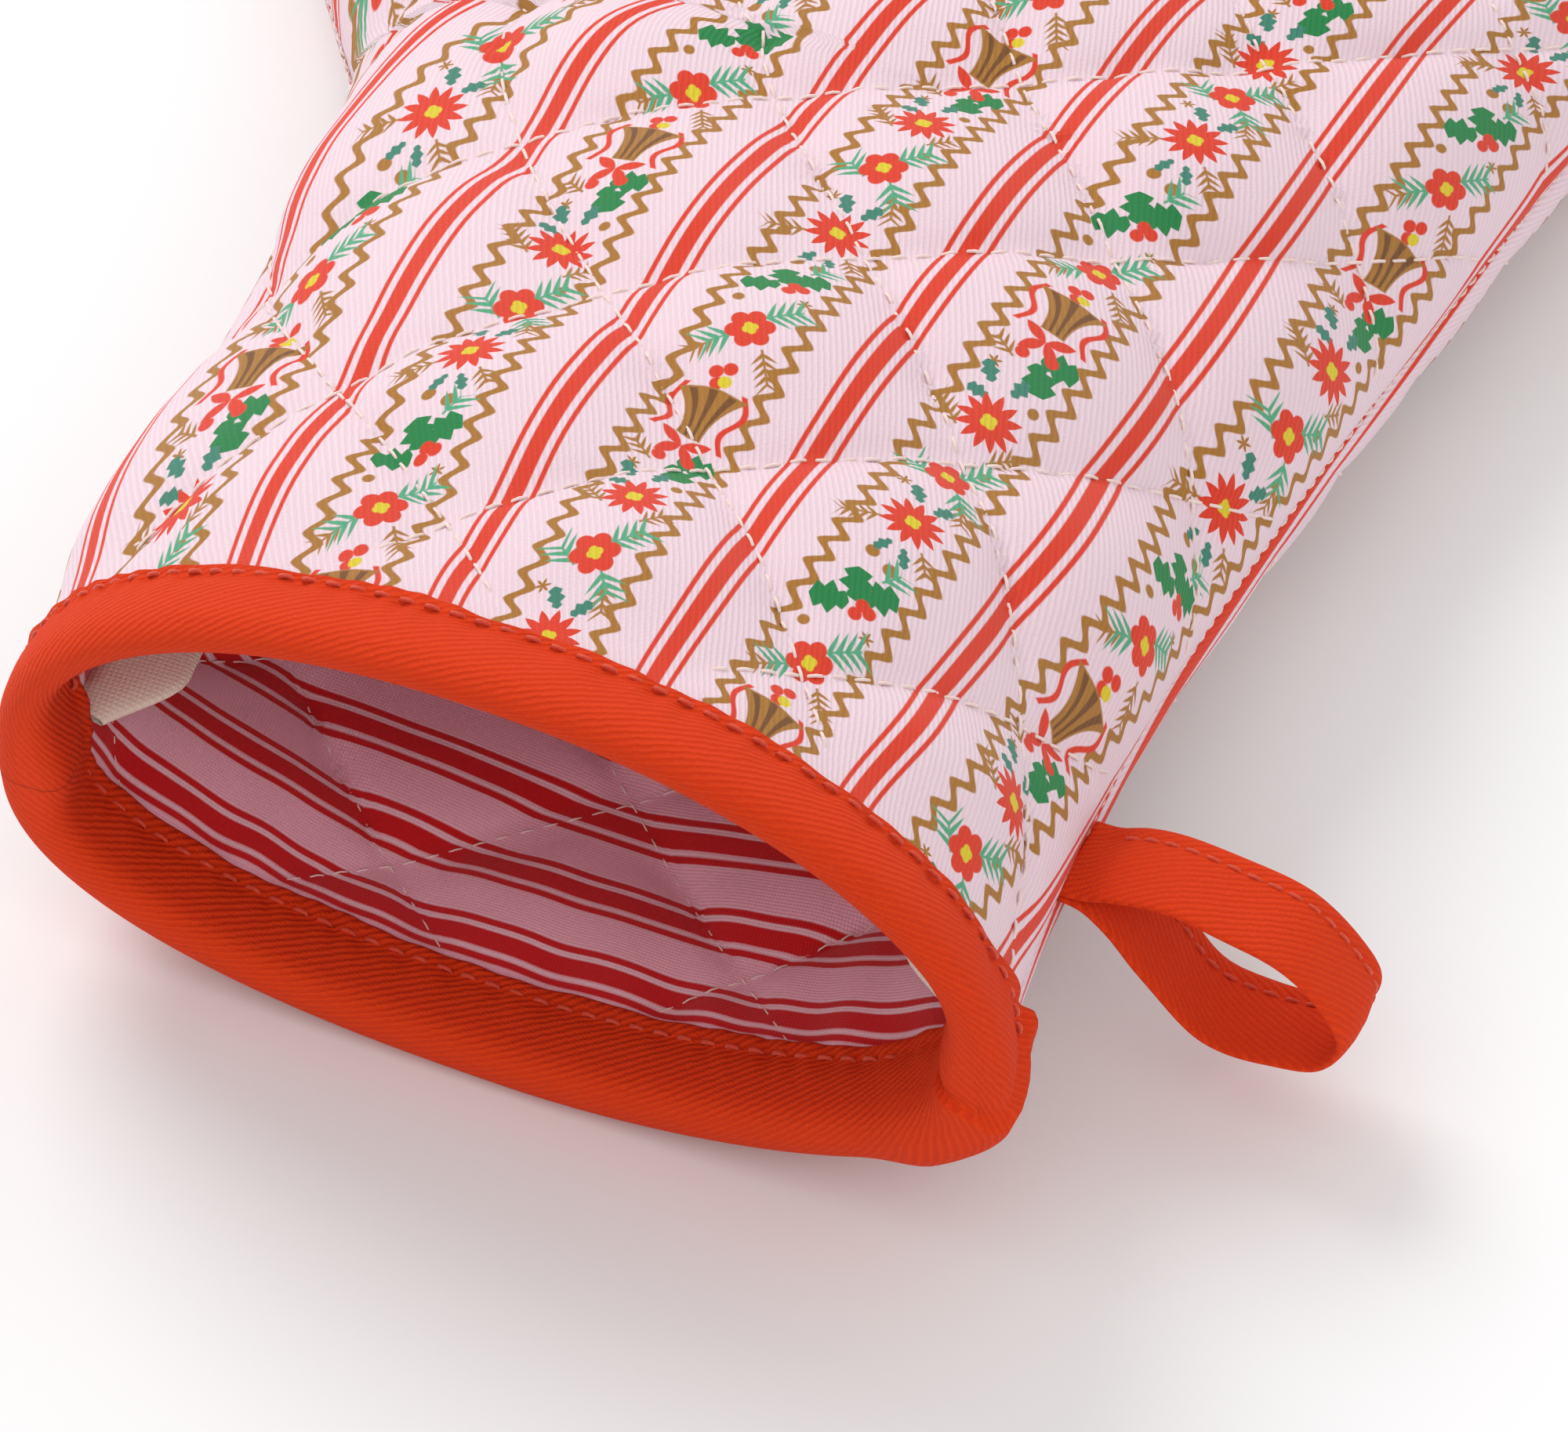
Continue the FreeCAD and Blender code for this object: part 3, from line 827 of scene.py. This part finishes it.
def make_loop_cloth():
    """A folded tape with soft edges: one edge is a fold, the other is stitched down."""
    line, outward, length = loop_line()
    section = []
    for turn in np.linspace(0, 2 * math.pi, 37)[:-1]:
        across = math.copysign(abs(math.cos(turn)) ** 0.45, math.cos(turn)) * LOOP_WIDTH / 2
        rise = math.copysign(abs(math.sin(turn)) ** 0.8, math.sin(turn)) * 0.78
        rise -= math.copysign(0.28, rise) * math.exp(-(((across - LOOP_WIDTH / 2 + 2.4) / 0.7) ** 2))
        section.append((across, rise))
    rows, coords = [], []
    for across, rise in section:
        wave = 0.22 * ripple(length, np.full_like(length, across * 1.5), 31, 14.0)
        place = line + outward * (rise + wave * 0.8)[:, None]
        place[:, 1] += LOOP_START + LOOP_WIDTH / 2 + across + 0.3 * ripple(length, 0 * length, 33, 30.0)
        rows.append(place)
        coords.append(np.stack([length, np.full_like(length, across)], -1))
    rows = np.array(rows)
    rows[..., 1] += CUFF_Y
    faces = grid_faces(len(section), len(line), True)
    caps = [list(range(0, len(section) * len(line), len(line)))]
    caps.append([i + len(line) - 1 for i in caps[0]][::-1])
    faces = faces.tolist() + caps
    return add_mesh("hanging_loop_cloth", rows.reshape(-1, 3), faces, np.array(coords).reshape(-1, 2))


def make_loop_thread():
    line, outward, length = loop_line()
    keep = slice(12, -12)
    runs = []
    for facing in (1.0, -1.0):
        wave = 0.22 * ripple(length, np.full_like(length, 3.6 * 1.5), 31, 14.0) * 0.8
        place = line + outward * (facing * 0.52 + wave)[:, None]
        place[:, 1] += LOOP_START + LOOP_WIDTH - 2.4 + 0.3 * ripple(length, 0 * length, 33, 30.0) + CUFF_Y
        runs.append(stitches_along(place[keep], (outward * facing)[keep], 2.6, 0.72))
    return add_stitches("loop_stitches", *joined(runs), 0.24, 0.02)


loop = make_loop_cloth()
loop_thread = make_loop_thread()


# ---------------------------------------------------------------- materials
class Value:
    """A number that varies over the cloth. Arithmetic on it adds nodes to the material."""

    def __init__(self, weave, socket):
        self.weave, self.socket = weave, socket

    def __rsub__(self, other):
        return self.weave.math("SUBTRACT", other, self)

    def __neg__(self):
        return self * -1.0

    def wedge(self, pitch):
        """A zigzag between 0 and half the pitch."""
        return self.weave.math("PINGPONG", self, pitch / 2)


def node_method(operation):
    """A method of Value that adds one math node."""

    def method(self, *others):
        return self.weave.math(operation, self, *others)

    return method


NODE_METHODS = {
    "__add__": "ADD",
    "__radd__": "ADD",
    "__sub__": "SUBTRACT",
    "__mul__": "MULTIPLY",
    "__rmul__": "MULTIPLY",
    "__truediv__": "DIVIDE",
    "__pow__": "POWER",
    "__mod__": "FLOORED_MODULO",
    "size": "ABSOLUTE",
    "floor": "FLOOR",
    "sin": "SINE",
    "cos": "COSINE",
    "low": "MINIMUM",
    "high": "MAXIMUM",
}
for method_name, math_operation in NODE_METHODS.items():
    setattr(Value, method_name, node_method(math_operation))


class Weave:
    """One fabric material: a colour built up in layers over pattern coordinates in mm."""

    def __init__(self, name, ground):
        self.material = bpy.data.materials.new(name)
        self.material.use_nodes = True
        self.nodes = self.material.node_tree.nodes
        self.links = self.material.node_tree.links
        self.shader = self.nodes["Principled BSDF"]
        chart = self.nodes.new("ShaderNodeUVMap")
        chart.uv_map = "pattern"
        parts = self.nodes.new("ShaderNodeSeparateXYZ")
        self.links.new(chart.outputs[0], parts.inputs[0])
        self.chart = chart.outputs[0]
        self.u = Value(self, parts.outputs[0]) * 100.0
        self.v = Value(self, parts.outputs[1]) * 100.0
        self.colour = linear(ground)

    def math(self, operation, *values):
        node = self.nodes.new("ShaderNodeMath")
        node.operation = operation
        for socket, value in zip(node.inputs, values):
            self.feed(socket, value)
        return Value(self, node.outputs[0])

    def feed(self, socket, value):
        if isinstance(value, Value):
            self.links.new(value.socket, socket)
        else:
            socket.default_value = value

    def noise(self, scale, detail=2.0):
        """Noise from 0 to 1 over the cloth, its grain about scale mm."""
        node = self.nodes.new("ShaderNodeTexNoise")
        node.inputs["Scale"].default_value = 100.0 / scale
        node.inputs["Detail"].default_value = detail
        self.links.new(self.chart, node.inputs["Vector"])
        return Value(self, node.outputs["Fac"])

    def soft(self, distance, blur=0.09):
        """1 inside a shape and 0 outside, from the distance inside its edge in mm."""
        node = self.nodes.new("ShaderNodeMapRange")
        node.inputs["From Min"].default_value = -blur
        node.inputs["From Max"].default_value = blur
        self.feed(node.inputs["Value"], distance)
        return Value(self, node.outputs[0])

    def paint(self, mask, colour, blend="MIX"):
        node = self.nodes.new("ShaderNodeMix")
        node.data_type = "RGBA"
        node.blend_type = blend
        self.feed(node.inputs[0], mask)
        if isinstance(self.colour, tuple):
            node.inputs[6].default_value = self.colour
        else:
            self.links.new(self.colour, node.inputs[6])
        node.inputs[7].default_value = linear(colour)
        self.colour = node.outputs[2]

    def finish(self, roughness, sheen, relief, depth):
        """Sets the shader. relief is a height in mm times 1 / depth."""
        if isinstance(self.colour, tuple):
            self.shader.inputs["Base Color"].default_value = self.colour
        else:
            self.links.new(self.colour, self.shader.inputs["Base Color"])
        self.feed(self.shader.inputs["Roughness"], roughness)
        self.shader.inputs["Sheen Weight"].default_value = sheen
        self.shader.inputs["Sheen Roughness"].default_value = 0.5
        self.shader.inputs["Specular IOR Level"].default_value = 0.25
        bump = self.nodes.new("ShaderNodeBump")
        bump.inputs["Distance"].default_value = depth * MM
        bump.inputs["Strength"].default_value = 1.0
        self.feed(bump.inputs["Height"], relief)
        self.links.new(bump.outputs[0], self.shader.inputs["Normal"])
        return self.material


def linear(colour):
    """Linear RGBA from a colour written as six hexadecimal digits."""
    parts = [int(colour[k : k + 2], 16) / 255 for k in (0, 2, 4)]
    return tuple(c / 12.92 if c <= 0.04045 else ((c + 0.055) / 1.055) ** 2.4 for c in parts) + (1.0,)


def twill(weave, pitch, angle, wobble=0.25):
    """Height of a twill's slanting ribs, 0 to 1, with the threads that cross them."""
    across = weave.u * math.cos(angle) + weave.v * math.sin(angle)
    down = weave.v * math.cos(angle) - weave.u * math.sin(angle)
    loose = weave.noise(1.2, 1.0) * wobble
    rib = ((across + loose) * (2 * math.pi / pitch)).sin() * 0.5 + 0.5
    cross = ((down + across * 0.5) * (2 * math.pi / (pitch * 0.8))).sin() * 0.5 + 0.5
    return rib * 0.75 + cross * rib * 0.25


# ---- the print: shapes are distances inside their edges, in mm, from a motif's own centre
def turned(x, y, angle):
    c, s = math.cos(angle), math.sin(angle)
    return x * c + y * s, y * c - x * s


def leaf(x, y, angle, length, width):
    """A leaf from its stem at the centre out along an angle."""
    along, side = turned(x, y, angle)
    share = (along - length / 2) * (2 / length)
    return (1.0 - share * share) * (width / 2) - side.size()


def holly(x, y, angle, length, width):
    """A leaf with a toothed edge."""
    along, side = turned(x, y, angle)
    share = (along - length / 2) * (2 / length)
    teeth = ((along * (3 / length) + 0.15).wedge(1.0) - 0.22) * (width * 0.6)
    body = (1.0 - share * share) * (width / 2)
    return (body + teeth).low(body * 1.6) - side.size()


def dot(x, y, radius):
    return radius - (x * x + y * y) ** 0.5


def flower(weave, x, y, petals, radius, notch, pointed, spin=0.0):
    """A flower seen from above: its edge swings in by notch between the petals."""
    turn = weave.math("ARCTAN2", y, x) + spin
    swing = (turn * (petals / (2 * math.pi))).wedge(1.0) * 2.0
    if not pointed:
        swing = 1.0 - (1.0 - swing) ** 2.0
    return (swing * notch + (1.0 - notch)) * radius - (x * x + y * y) ** 0.5


def sprig(x, y, angle, length, spread, pitch, width):
    """A stem with pairs of slanting leaflets."""
    along, side = turned(x, y, angle)
    reach = side.size()
    slanted = along - reach * 0.8
    row = ((slanted % pitch) - pitch / 2).size()
    leaflet = (width / 2) * (1.0 - (reach / spread) ** 2.0) - row
    leaflet = leaflet.low(slanted + 0.1).low(length - slanted)
    stem = (0.16 - reach).low(along + 0.2).low(length - along)
    return leaflet.high(stem)


def any_of(shapes):
    found = shapes[0]
    for shape in shapes[1:]:
        found = found.high(shape)
    return found


PRINT_RED, PRINT_GOLD, PRINT_GREEN = "DD330B", "A87122", "0A7F3E"
PRINT_TEAL, PRINT_LEAF, PRINT_YELLOW = "38806C", "4FA67B", "DCC81E"
PRINT_BROWN, PRINT_GROUND = "74450E", "ECD2DB"
# Motifs stand at (x, distance down from the bell) in mm, with an angle and a size where needed.
REPEAT = 80.0
GOLD_SPRIGS = [
    (-3.0, 22.5, 2.4, 4.4), (2.6, 24.5, 0.9, 3.2), (3.0, 34.5, -1.2, 3.6), (-3.3, 45.0, 3.6, 4.4),
    (2.6, 70.5, -1.0, 4.6), (-2.2, 10.5, 2.6, 3.0), (2.8, 46.5, -0.9, 3.0), (-3.0, 71.0, 4.0, 2.6),
]
GOLD_DOTS = [(-1.6, 50.6, 0.85), (1.2, 51.6, 0.9), (3.2, 27.0, 0.75), (3.4, 15.6, 0.7), (-3.4, 63.5, 0.7)]
GOLD_STARS = [(3.4, 35.5), (-3.6, 36.5), (3.6, 61.0), (-3.4, 12.5)]
FERNS = [
    (1.0, 29.5, 0.9, 4.6), (-1.6, 33.0, 2.5, 3.0), (0.8, 66.0, 0.8, 4.8),
    (-1.5, 69.5, 3.9, 3.0), (1.8, 33.0, -0.9, 3.0), (1.4, 53.5, 1.1, 2.6),
]
TEAL_LEAVES = [
    (-2.2, 15.2, 2.2, 3.4, 1.7), (0.4, 15.5, 1.3, 3.4, 1.7), (-1.6, 17.2, 3.0, 3.0, 1.5),
    (0.9, 47.5, -1.1, 3.2, 1.2), (-0.6, 47.5, -2.0, 3.0, 1.2),
    (-0.6, 39.0, 2.1, 3.4, 1.6), (1.2, 39.4, 1.0, 3.2, 1.5),
]
GREEN_LEAVES = [(0.6, 9.0, 0.25), (0.4, 9.6, -0.9), (0.2, 58.0, 2.0), (0.6, 57.2, 0.8), (-0.3, 58.5, 3.5)]
POINTED_FLOWERS, ROUND_FLOWERS = (20.0, 43.0), (31.0, 68.0)
BERRIES = [
    (0.9, 59.3), (2.2, 58.2), (1.1, 57.9), (-0.9, 75.0), (0.5, 74.2), (-0.2, 76.4), (1.8, 8.4), (-1.5, 9.3),
]
BERRY_RADIUS = 0.85
BOW_LEAVES = [(0.0, 6.4, 2.6), (0.0, 6.4, 0.5), (0.0, 6.2, -2.3), (0.0, 6.2, -0.9)]
FLOWER_HEARTS = [(20.0, 1.05), (43.0, 1.0), (31.0, 0.95), (68.0, 0.95)]


def paint_stripes(weave, x):
    """A wide red stripe between two thin ones, halfway between garlands."""
    stripe = STRIPE_PITCH / 2 - x.size()
    thin = 0.3 - ((stripe.size() - 2.05).size())
    weave.paint(weave.soft((0.95 - stripe.size()).high(thin)), PRINT_RED)


def paint_zigzags(weave, x):
    """A gold line that winds along each side of a garland."""
    pitch = 3.7
    straight = weave.v.wedge(pitch) - pitch / 4
    rounded = (weave.v * (2 * math.pi / pitch)).cos() * -0.8
    snake = 0.5 - (x.size() - 5.8 + straight * 0.3 + rounded * 0.8).size() * 0.74
    weave.paint(weave.soft(snake), PRINT_GOLD)


def paint_gold(weave, at):
    gold = [sprig(*at(px, py), angle, length, 1.5, 1.0, 0.62) for px, py, angle, length in GOLD_SPRIGS]
    gold += [dot(*at(px, py), radius) for px, py, radius in GOLD_DOTS]
    gold += [flower(weave, *at(px, py), 6, 1.0, 0.75, True) for px, py in GOLD_STARS]
    weave.paint(weave.soft(any_of(gold)), PRINT_GOLD)


def paint_leaves(weave, at):
    ferns = [sprig(*at(px, py), angle, length, 2.3, 1.15, 0.8) for px, py, angle, length in FERNS]
    weave.paint(weave.soft(any_of(ferns)), PRINT_LEAF)
    teal = [holly(*at(px, py), *rest) for px, py, *rest in TEAL_LEAVES]
    weave.paint(weave.soft(any_of(teal)), PRINT_TEAL)
    green = [holly(*at(px, py), angle, 5.0, 3.3) for px, py, angle in GREEN_LEAVES]
    weave.paint(weave.soft(any_of(green)), PRINT_GREEN)


def paint_red(weave, at):
    """Flowers, berries, the bow over each bell and the ribbon at its sides."""
    red = [flower(weave, *at(0.0, py), 12, 4.0, 0.42, True, 0.2) for py in POINTED_FLOWERS]
    red += [flower(weave, *at(0.0, py), 6, 2.9, 0.26, False) for py in ROUND_FLOWERS]
    red += [dot(*at(px, py), BERRY_RADIUS) for px, py in BERRIES]
    red += [leaf(*at(px, py), angle, 3.6, 1.5) for px, py, angle in BOW_LEAVES]
    x, y = at(0.0, 1.0)
    ribbon = 0.38 - (x.size() - 3.9 - ((y * 0.9).sin() * 0.7)).size()
    red.append(ribbon.low(4.2 - y.size()))
    weave.paint(weave.soft(any_of(red)), PRINT_RED)


def paint_bells(weave, at):
    x, y = at(0.0, 1.0)
    rise = ((y + 3.8) * (1 / 7.8)).high(0.0)
    mouth = rise**2.6 * 3.3 + 1.5
    bell = (mouth - x.size()).low(4.0 - y - x.size() * 0.12).low(y + 3.6)
    weave.paint(weave.soft(bell), PRINT_GOLD)
    lines = ((x / mouth) * 3.4 * math.pi + y * 0.5).sin() * 0.3 - 0.06
    weave.paint(weave.soft(lines.low(bell - 0.25)), PRINT_BROWN)
    weave.paint(weave.soft(dot(*at(0.6, -4.0), 0.8)), PRINT_YELLOW)


def paint_hearts(weave, at):
    hearts = [flower(weave, *at(0.0, py), 4, radius, 0.25, False) for py, radius in FLOWER_HEARTS]
    weave.paint(weave.soft(any_of(hearts)), PRINT_YELLOW)


def print_material():
    """Stripes, zigzags and garlands on a pale ground. Along a garland, down is towards the cuff
    from each bell, and every second garland is shifted by half the repeat.
    """
    weave = Weave("print_cotton_cloth", PRINT_GROUND)
    lane = (weave.u - STRIPE_START - weave.v * STRIPE_LEAN) / STRIPE_PITCH
    column = lane.floor()
    x = (lane - column - 0.5) * STRIPE_PITCH
    half = (column % 2.0) * (REPEAT / 2)
    down = ((half - weave.v) + 50.0) % REPEAT

    def at(offset_x, offset_down):
        """Coordinates round a motif: x across, y towards the fingertips."""
        y = (offset_down - down + REPEAT / 2) % REPEAT - REPEAT / 2
        return x - offset_x, y

    paint_stripes(weave, x)
    paint_zigzags(weave, x)
    for paint_motifs in (paint_gold, paint_leaves, paint_red, paint_bells, paint_hearts):
        paint_motifs(weave, at)
    relief = twill(weave, 0.72, math.radians(25))
    # painted shade: the print is darkened in the gaps between the twill's ribs
    weave.paint((1.0 - relief) * 0.13, "7C5A60", "MULTIPLY")
    fade = weave.noise(24.0, 2.0)
    weave.paint(fade * 0.05, "FFFFFF")
    fibres = weave.noise(0.5, 3.0)
    return weave.finish(0.86 + fibres * 0.1, 0.08, relief + fibres * 0.5, 0.09)


def lining_material():
    """A pale rose cloth with groups of three stripes across it."""
    weave = Weave("lining_cotton_cloth", "FBC3D3")
    beat = ((weave.v + 3.4) % 12.0) - 6.0
    ends = (beat.size() - 2.6).size()
    stripes = (1.3 - beat.size()).high(0.5 - ends)
    pale = 1.0 - (beat.size() - 2.3).size()
    weave.paint(weave.soft(pale, 0.3) * 0.6, "F8DCE0")
    weave.paint(weave.soft(stripes, 0.12), "D5141A")
    warp = (weave.u * (2 * math.pi / 0.42)).sin() * 0.5 + 0.5
    weft = (weave.v * (2 * math.pi / 0.46)).sin() * 0.5 + 0.5
    relief = warp * 0.5 + weft * 0.5 + weave.noise(0.6, 2.0) * 0.5
    # painted shade: the lining is darkened in the hollows between the threads of its weave
    weave.paint((1.5 - relief) * 0.12, "7A4A55", "MULTIPLY")
    return weave.finish(0.88 + weave.noise(5.0) * 0.08, 0.2, relief, 0.06)


def red_twill_material(name, angle, pitch):
    weave = Weave(name, "E03C05")
    relief = twill(weave, pitch, angle, 0.35)
    # painted shade: the gaps between the twill's ribs are mixed towards a darker, shaded red
    weave.paint((1.0 - relief) * 0.42, "BC2203")
    weave.paint(weave.noise(9.0, 3.0) * 0.16, "B92806")
    fibres = weave.noise(0.35, 3.0)
    weave.paint((fibres - 0.52).high(0.0) * 0.7, "F0662E")
    return weave.finish(0.82 + fibres * 0.12, 0.0, relief + fibres * 0.45, 0.16)


def plain_material(name, ground, shade, grain, depth):
    weave = Weave(name, ground)
    warp = (weave.u * (2 * math.pi / grain)).sin() * 0.5 + 0.5
    weft = (weave.v * (2 * math.pi / grain)).sin() * 0.5 + 0.5
    relief = warp * weft + weave.noise(grain, 2.0) * 0.4
    weave.paint((1.0 - relief) * 0.3, shade)
    return weave.finish(0.88 + weave.noise(3.0) * 0.08, 0.2, relief, depth)


def thread_material(name, ground, shade):
    """Twisted thread. It needs no pattern coordinates of its own: its grain is in space."""
    material = bpy.data.materials.new(name)
    material.use_nodes = True
    nodes, links = material.node_tree.nodes, material.node_tree.links
    shader = nodes["Principled BSDF"]
    place = nodes.new("ShaderNodeTexCoord")
    grain = nodes.new("ShaderNodeTexNoise")
    grain.inputs["Scale"].default_value = 2400.0
    links.new(place.outputs["Object"], grain.inputs["Vector"])
    mix = nodes.new("ShaderNodeMix")
    mix.data_type = "RGBA"
    mix.inputs[6].default_value, mix.inputs[7].default_value = linear(ground), linear(shade)
    links.new(grain.outputs["Fac"], mix.inputs[0])
    links.new(mix.outputs[2], shader.inputs["Base Color"])
    shader.inputs["Roughness"].default_value = 0.7
    shader.inputs["Sheen Weight"].default_value = 0.2
    bump = nodes.new("ShaderNodeBump")
    bump.inputs["Distance"].default_value = 0.00006
    links.new(grain.outputs["Fac"], bump.inputs["Height"])
    links.new(bump.outputs[0], shader.inputs["Normal"])
    return material


def wear(material, slot, *objects):
    for thing in objects:
        thing.data.materials.clear()
        thing.data.materials.append(material)


def both(layer):
    return sheets[f"front_{layer}"], sheets[f"back_{layer}"]


wear(print_material(), "print_cotton", *both("outer_panel"))
wear(plain_material("batting_wad", "F2F0EA", "D8D4CA", 2.0, 0.3), "batting", *both("batting"))
wear(lining_material(), "lining_cotton", *both("lining"))
wear(red_twill_material("red_twill_binding", math.radians(62), 0.78), "red_twill", binding)
wear(red_twill_material("red_twill_loop", math.radians(118), 0.78), "red_twill", loop)
wear(plain_material("cream_tape_cloth", "EEE2D2", "CDB9A4", 0.6, 0.08), "cream_tape", seam_tape)
cream_thread = thread_material("cream_thread_yarn", "F6E4DE", "E2C6BE")
wear(cream_thread, "cream_thread", seam_thread, front_quilting, back_quilting)
wear(thread_material("red_thread_yarn", "E4512C", "B92A0E"), "red_thread", binding_thread, loop_thread)


# ---------------------------------------------------------------- what each piece stands for
PIECES = [(sheet, node, "mitt") for node, sheet in sheets.items()]
PIECES += [
    (binding, "cuff_binding", "mitt"),
    (binding_thread, "binding_stitching", "mitt"),
    (seam_thread, "side_seam_stitching", "mitt"),
    (seam_tape, "inner_seam_tape", "mitt"),
    (front_quilting, "front_quilting_thread", "mitt"),
    (back_quilting, "back_quilting_thread", "mitt"),
    (loop, "hanging_loop", "loop"),
    (loop_thread, "loop_edge_stitching", "loop"),
]
for piece, node, body in PIECES:
    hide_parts(node)
    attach(piece, body)


# ---------------------------------------------------------------- floor, light, camera
def make_stage():
    bpy.ops.mesh.primitive_plane_add(size=6.0, location=(0, 0, -0.0004))
    floor = bpy.context.object
    floor.name = "floor"
    paper = bpy.data.materials.new("white_paper")
    paper.use_nodes = True
    shader = paper.node_tree.nodes["Principled BSDF"]
    shader.inputs["Base Color"].default_value = (0.9, 0.9, 0.9, 1)
    shader.inputs["Roughness"].default_value = 0.9
    floor.data.materials.append(paper)
    world = bpy.data.worlds.new("studio")
    bpy.context.scene.world = world
    world.use_nodes = True
    world.node_tree.nodes["Background"].inputs["Color"].default_value = (1, 1, 1, 1)
    world.node_tree.nodes["Background"].inputs["Strength"].default_value = 0.8
    bpy.context.scene.view_settings.view_transform = "Standard"


def add_area_light(name, place, target, size, power):
    lamp = bpy.data.lights.new(name, "AREA")
    lamp.shape, lamp.size, lamp.energy = "DISK", size, power
    made = bpy.data.objects.new(name, lamp)
    made.location = place
    made.rotation_euler = (Vector(target) - Vector(place)).to_track_quat("-Z", "Y").to_euler()
    bpy.context.scene.collection.objects.link(made)


CAMERA_TURN, CAMERA_TILT = math.radians(24.231), math.radians(45.857)
CAMERA_AIM = Vector((0.0139, -0.1124, 0.020))
CAMERA_AWAY = 0.98714
CAMERA_LENS = 199.55


def add_camera():
    back_way = Vector(
        (
            math.sin(CAMERA_TURN) * math.cos(CAMERA_TILT),
            -math.cos(CAMERA_TURN) * math.cos(CAMERA_TILT),
            math.sin(CAMERA_TILT),
        )
    )
    lens = bpy.data.cameras.new("camera")
    lens.lens, lens.sensor_width, lens.sensor_fit = CAMERA_LENS, 36.0, "HORIZONTAL"
    made = bpy.data.objects.new("camera", lens)
    made.location = CAMERA_AIM + back_way * CAMERA_AWAY
    made.rotation_euler = back_way.to_track_quat("Z", "Y").to_euler()
    bpy.context.scene.collection.objects.link(made)
    bpy.context.scene.camera = made


make_stage()
add_area_light("window_left", (-0.9, 0.5, 1.1), (0, 0, 0), 0.9, 11.0)
add_area_light("fill_right", (0.9, -0.9, 0.9), (0, 0, 0), 1.2, 3.0)
add_camera()
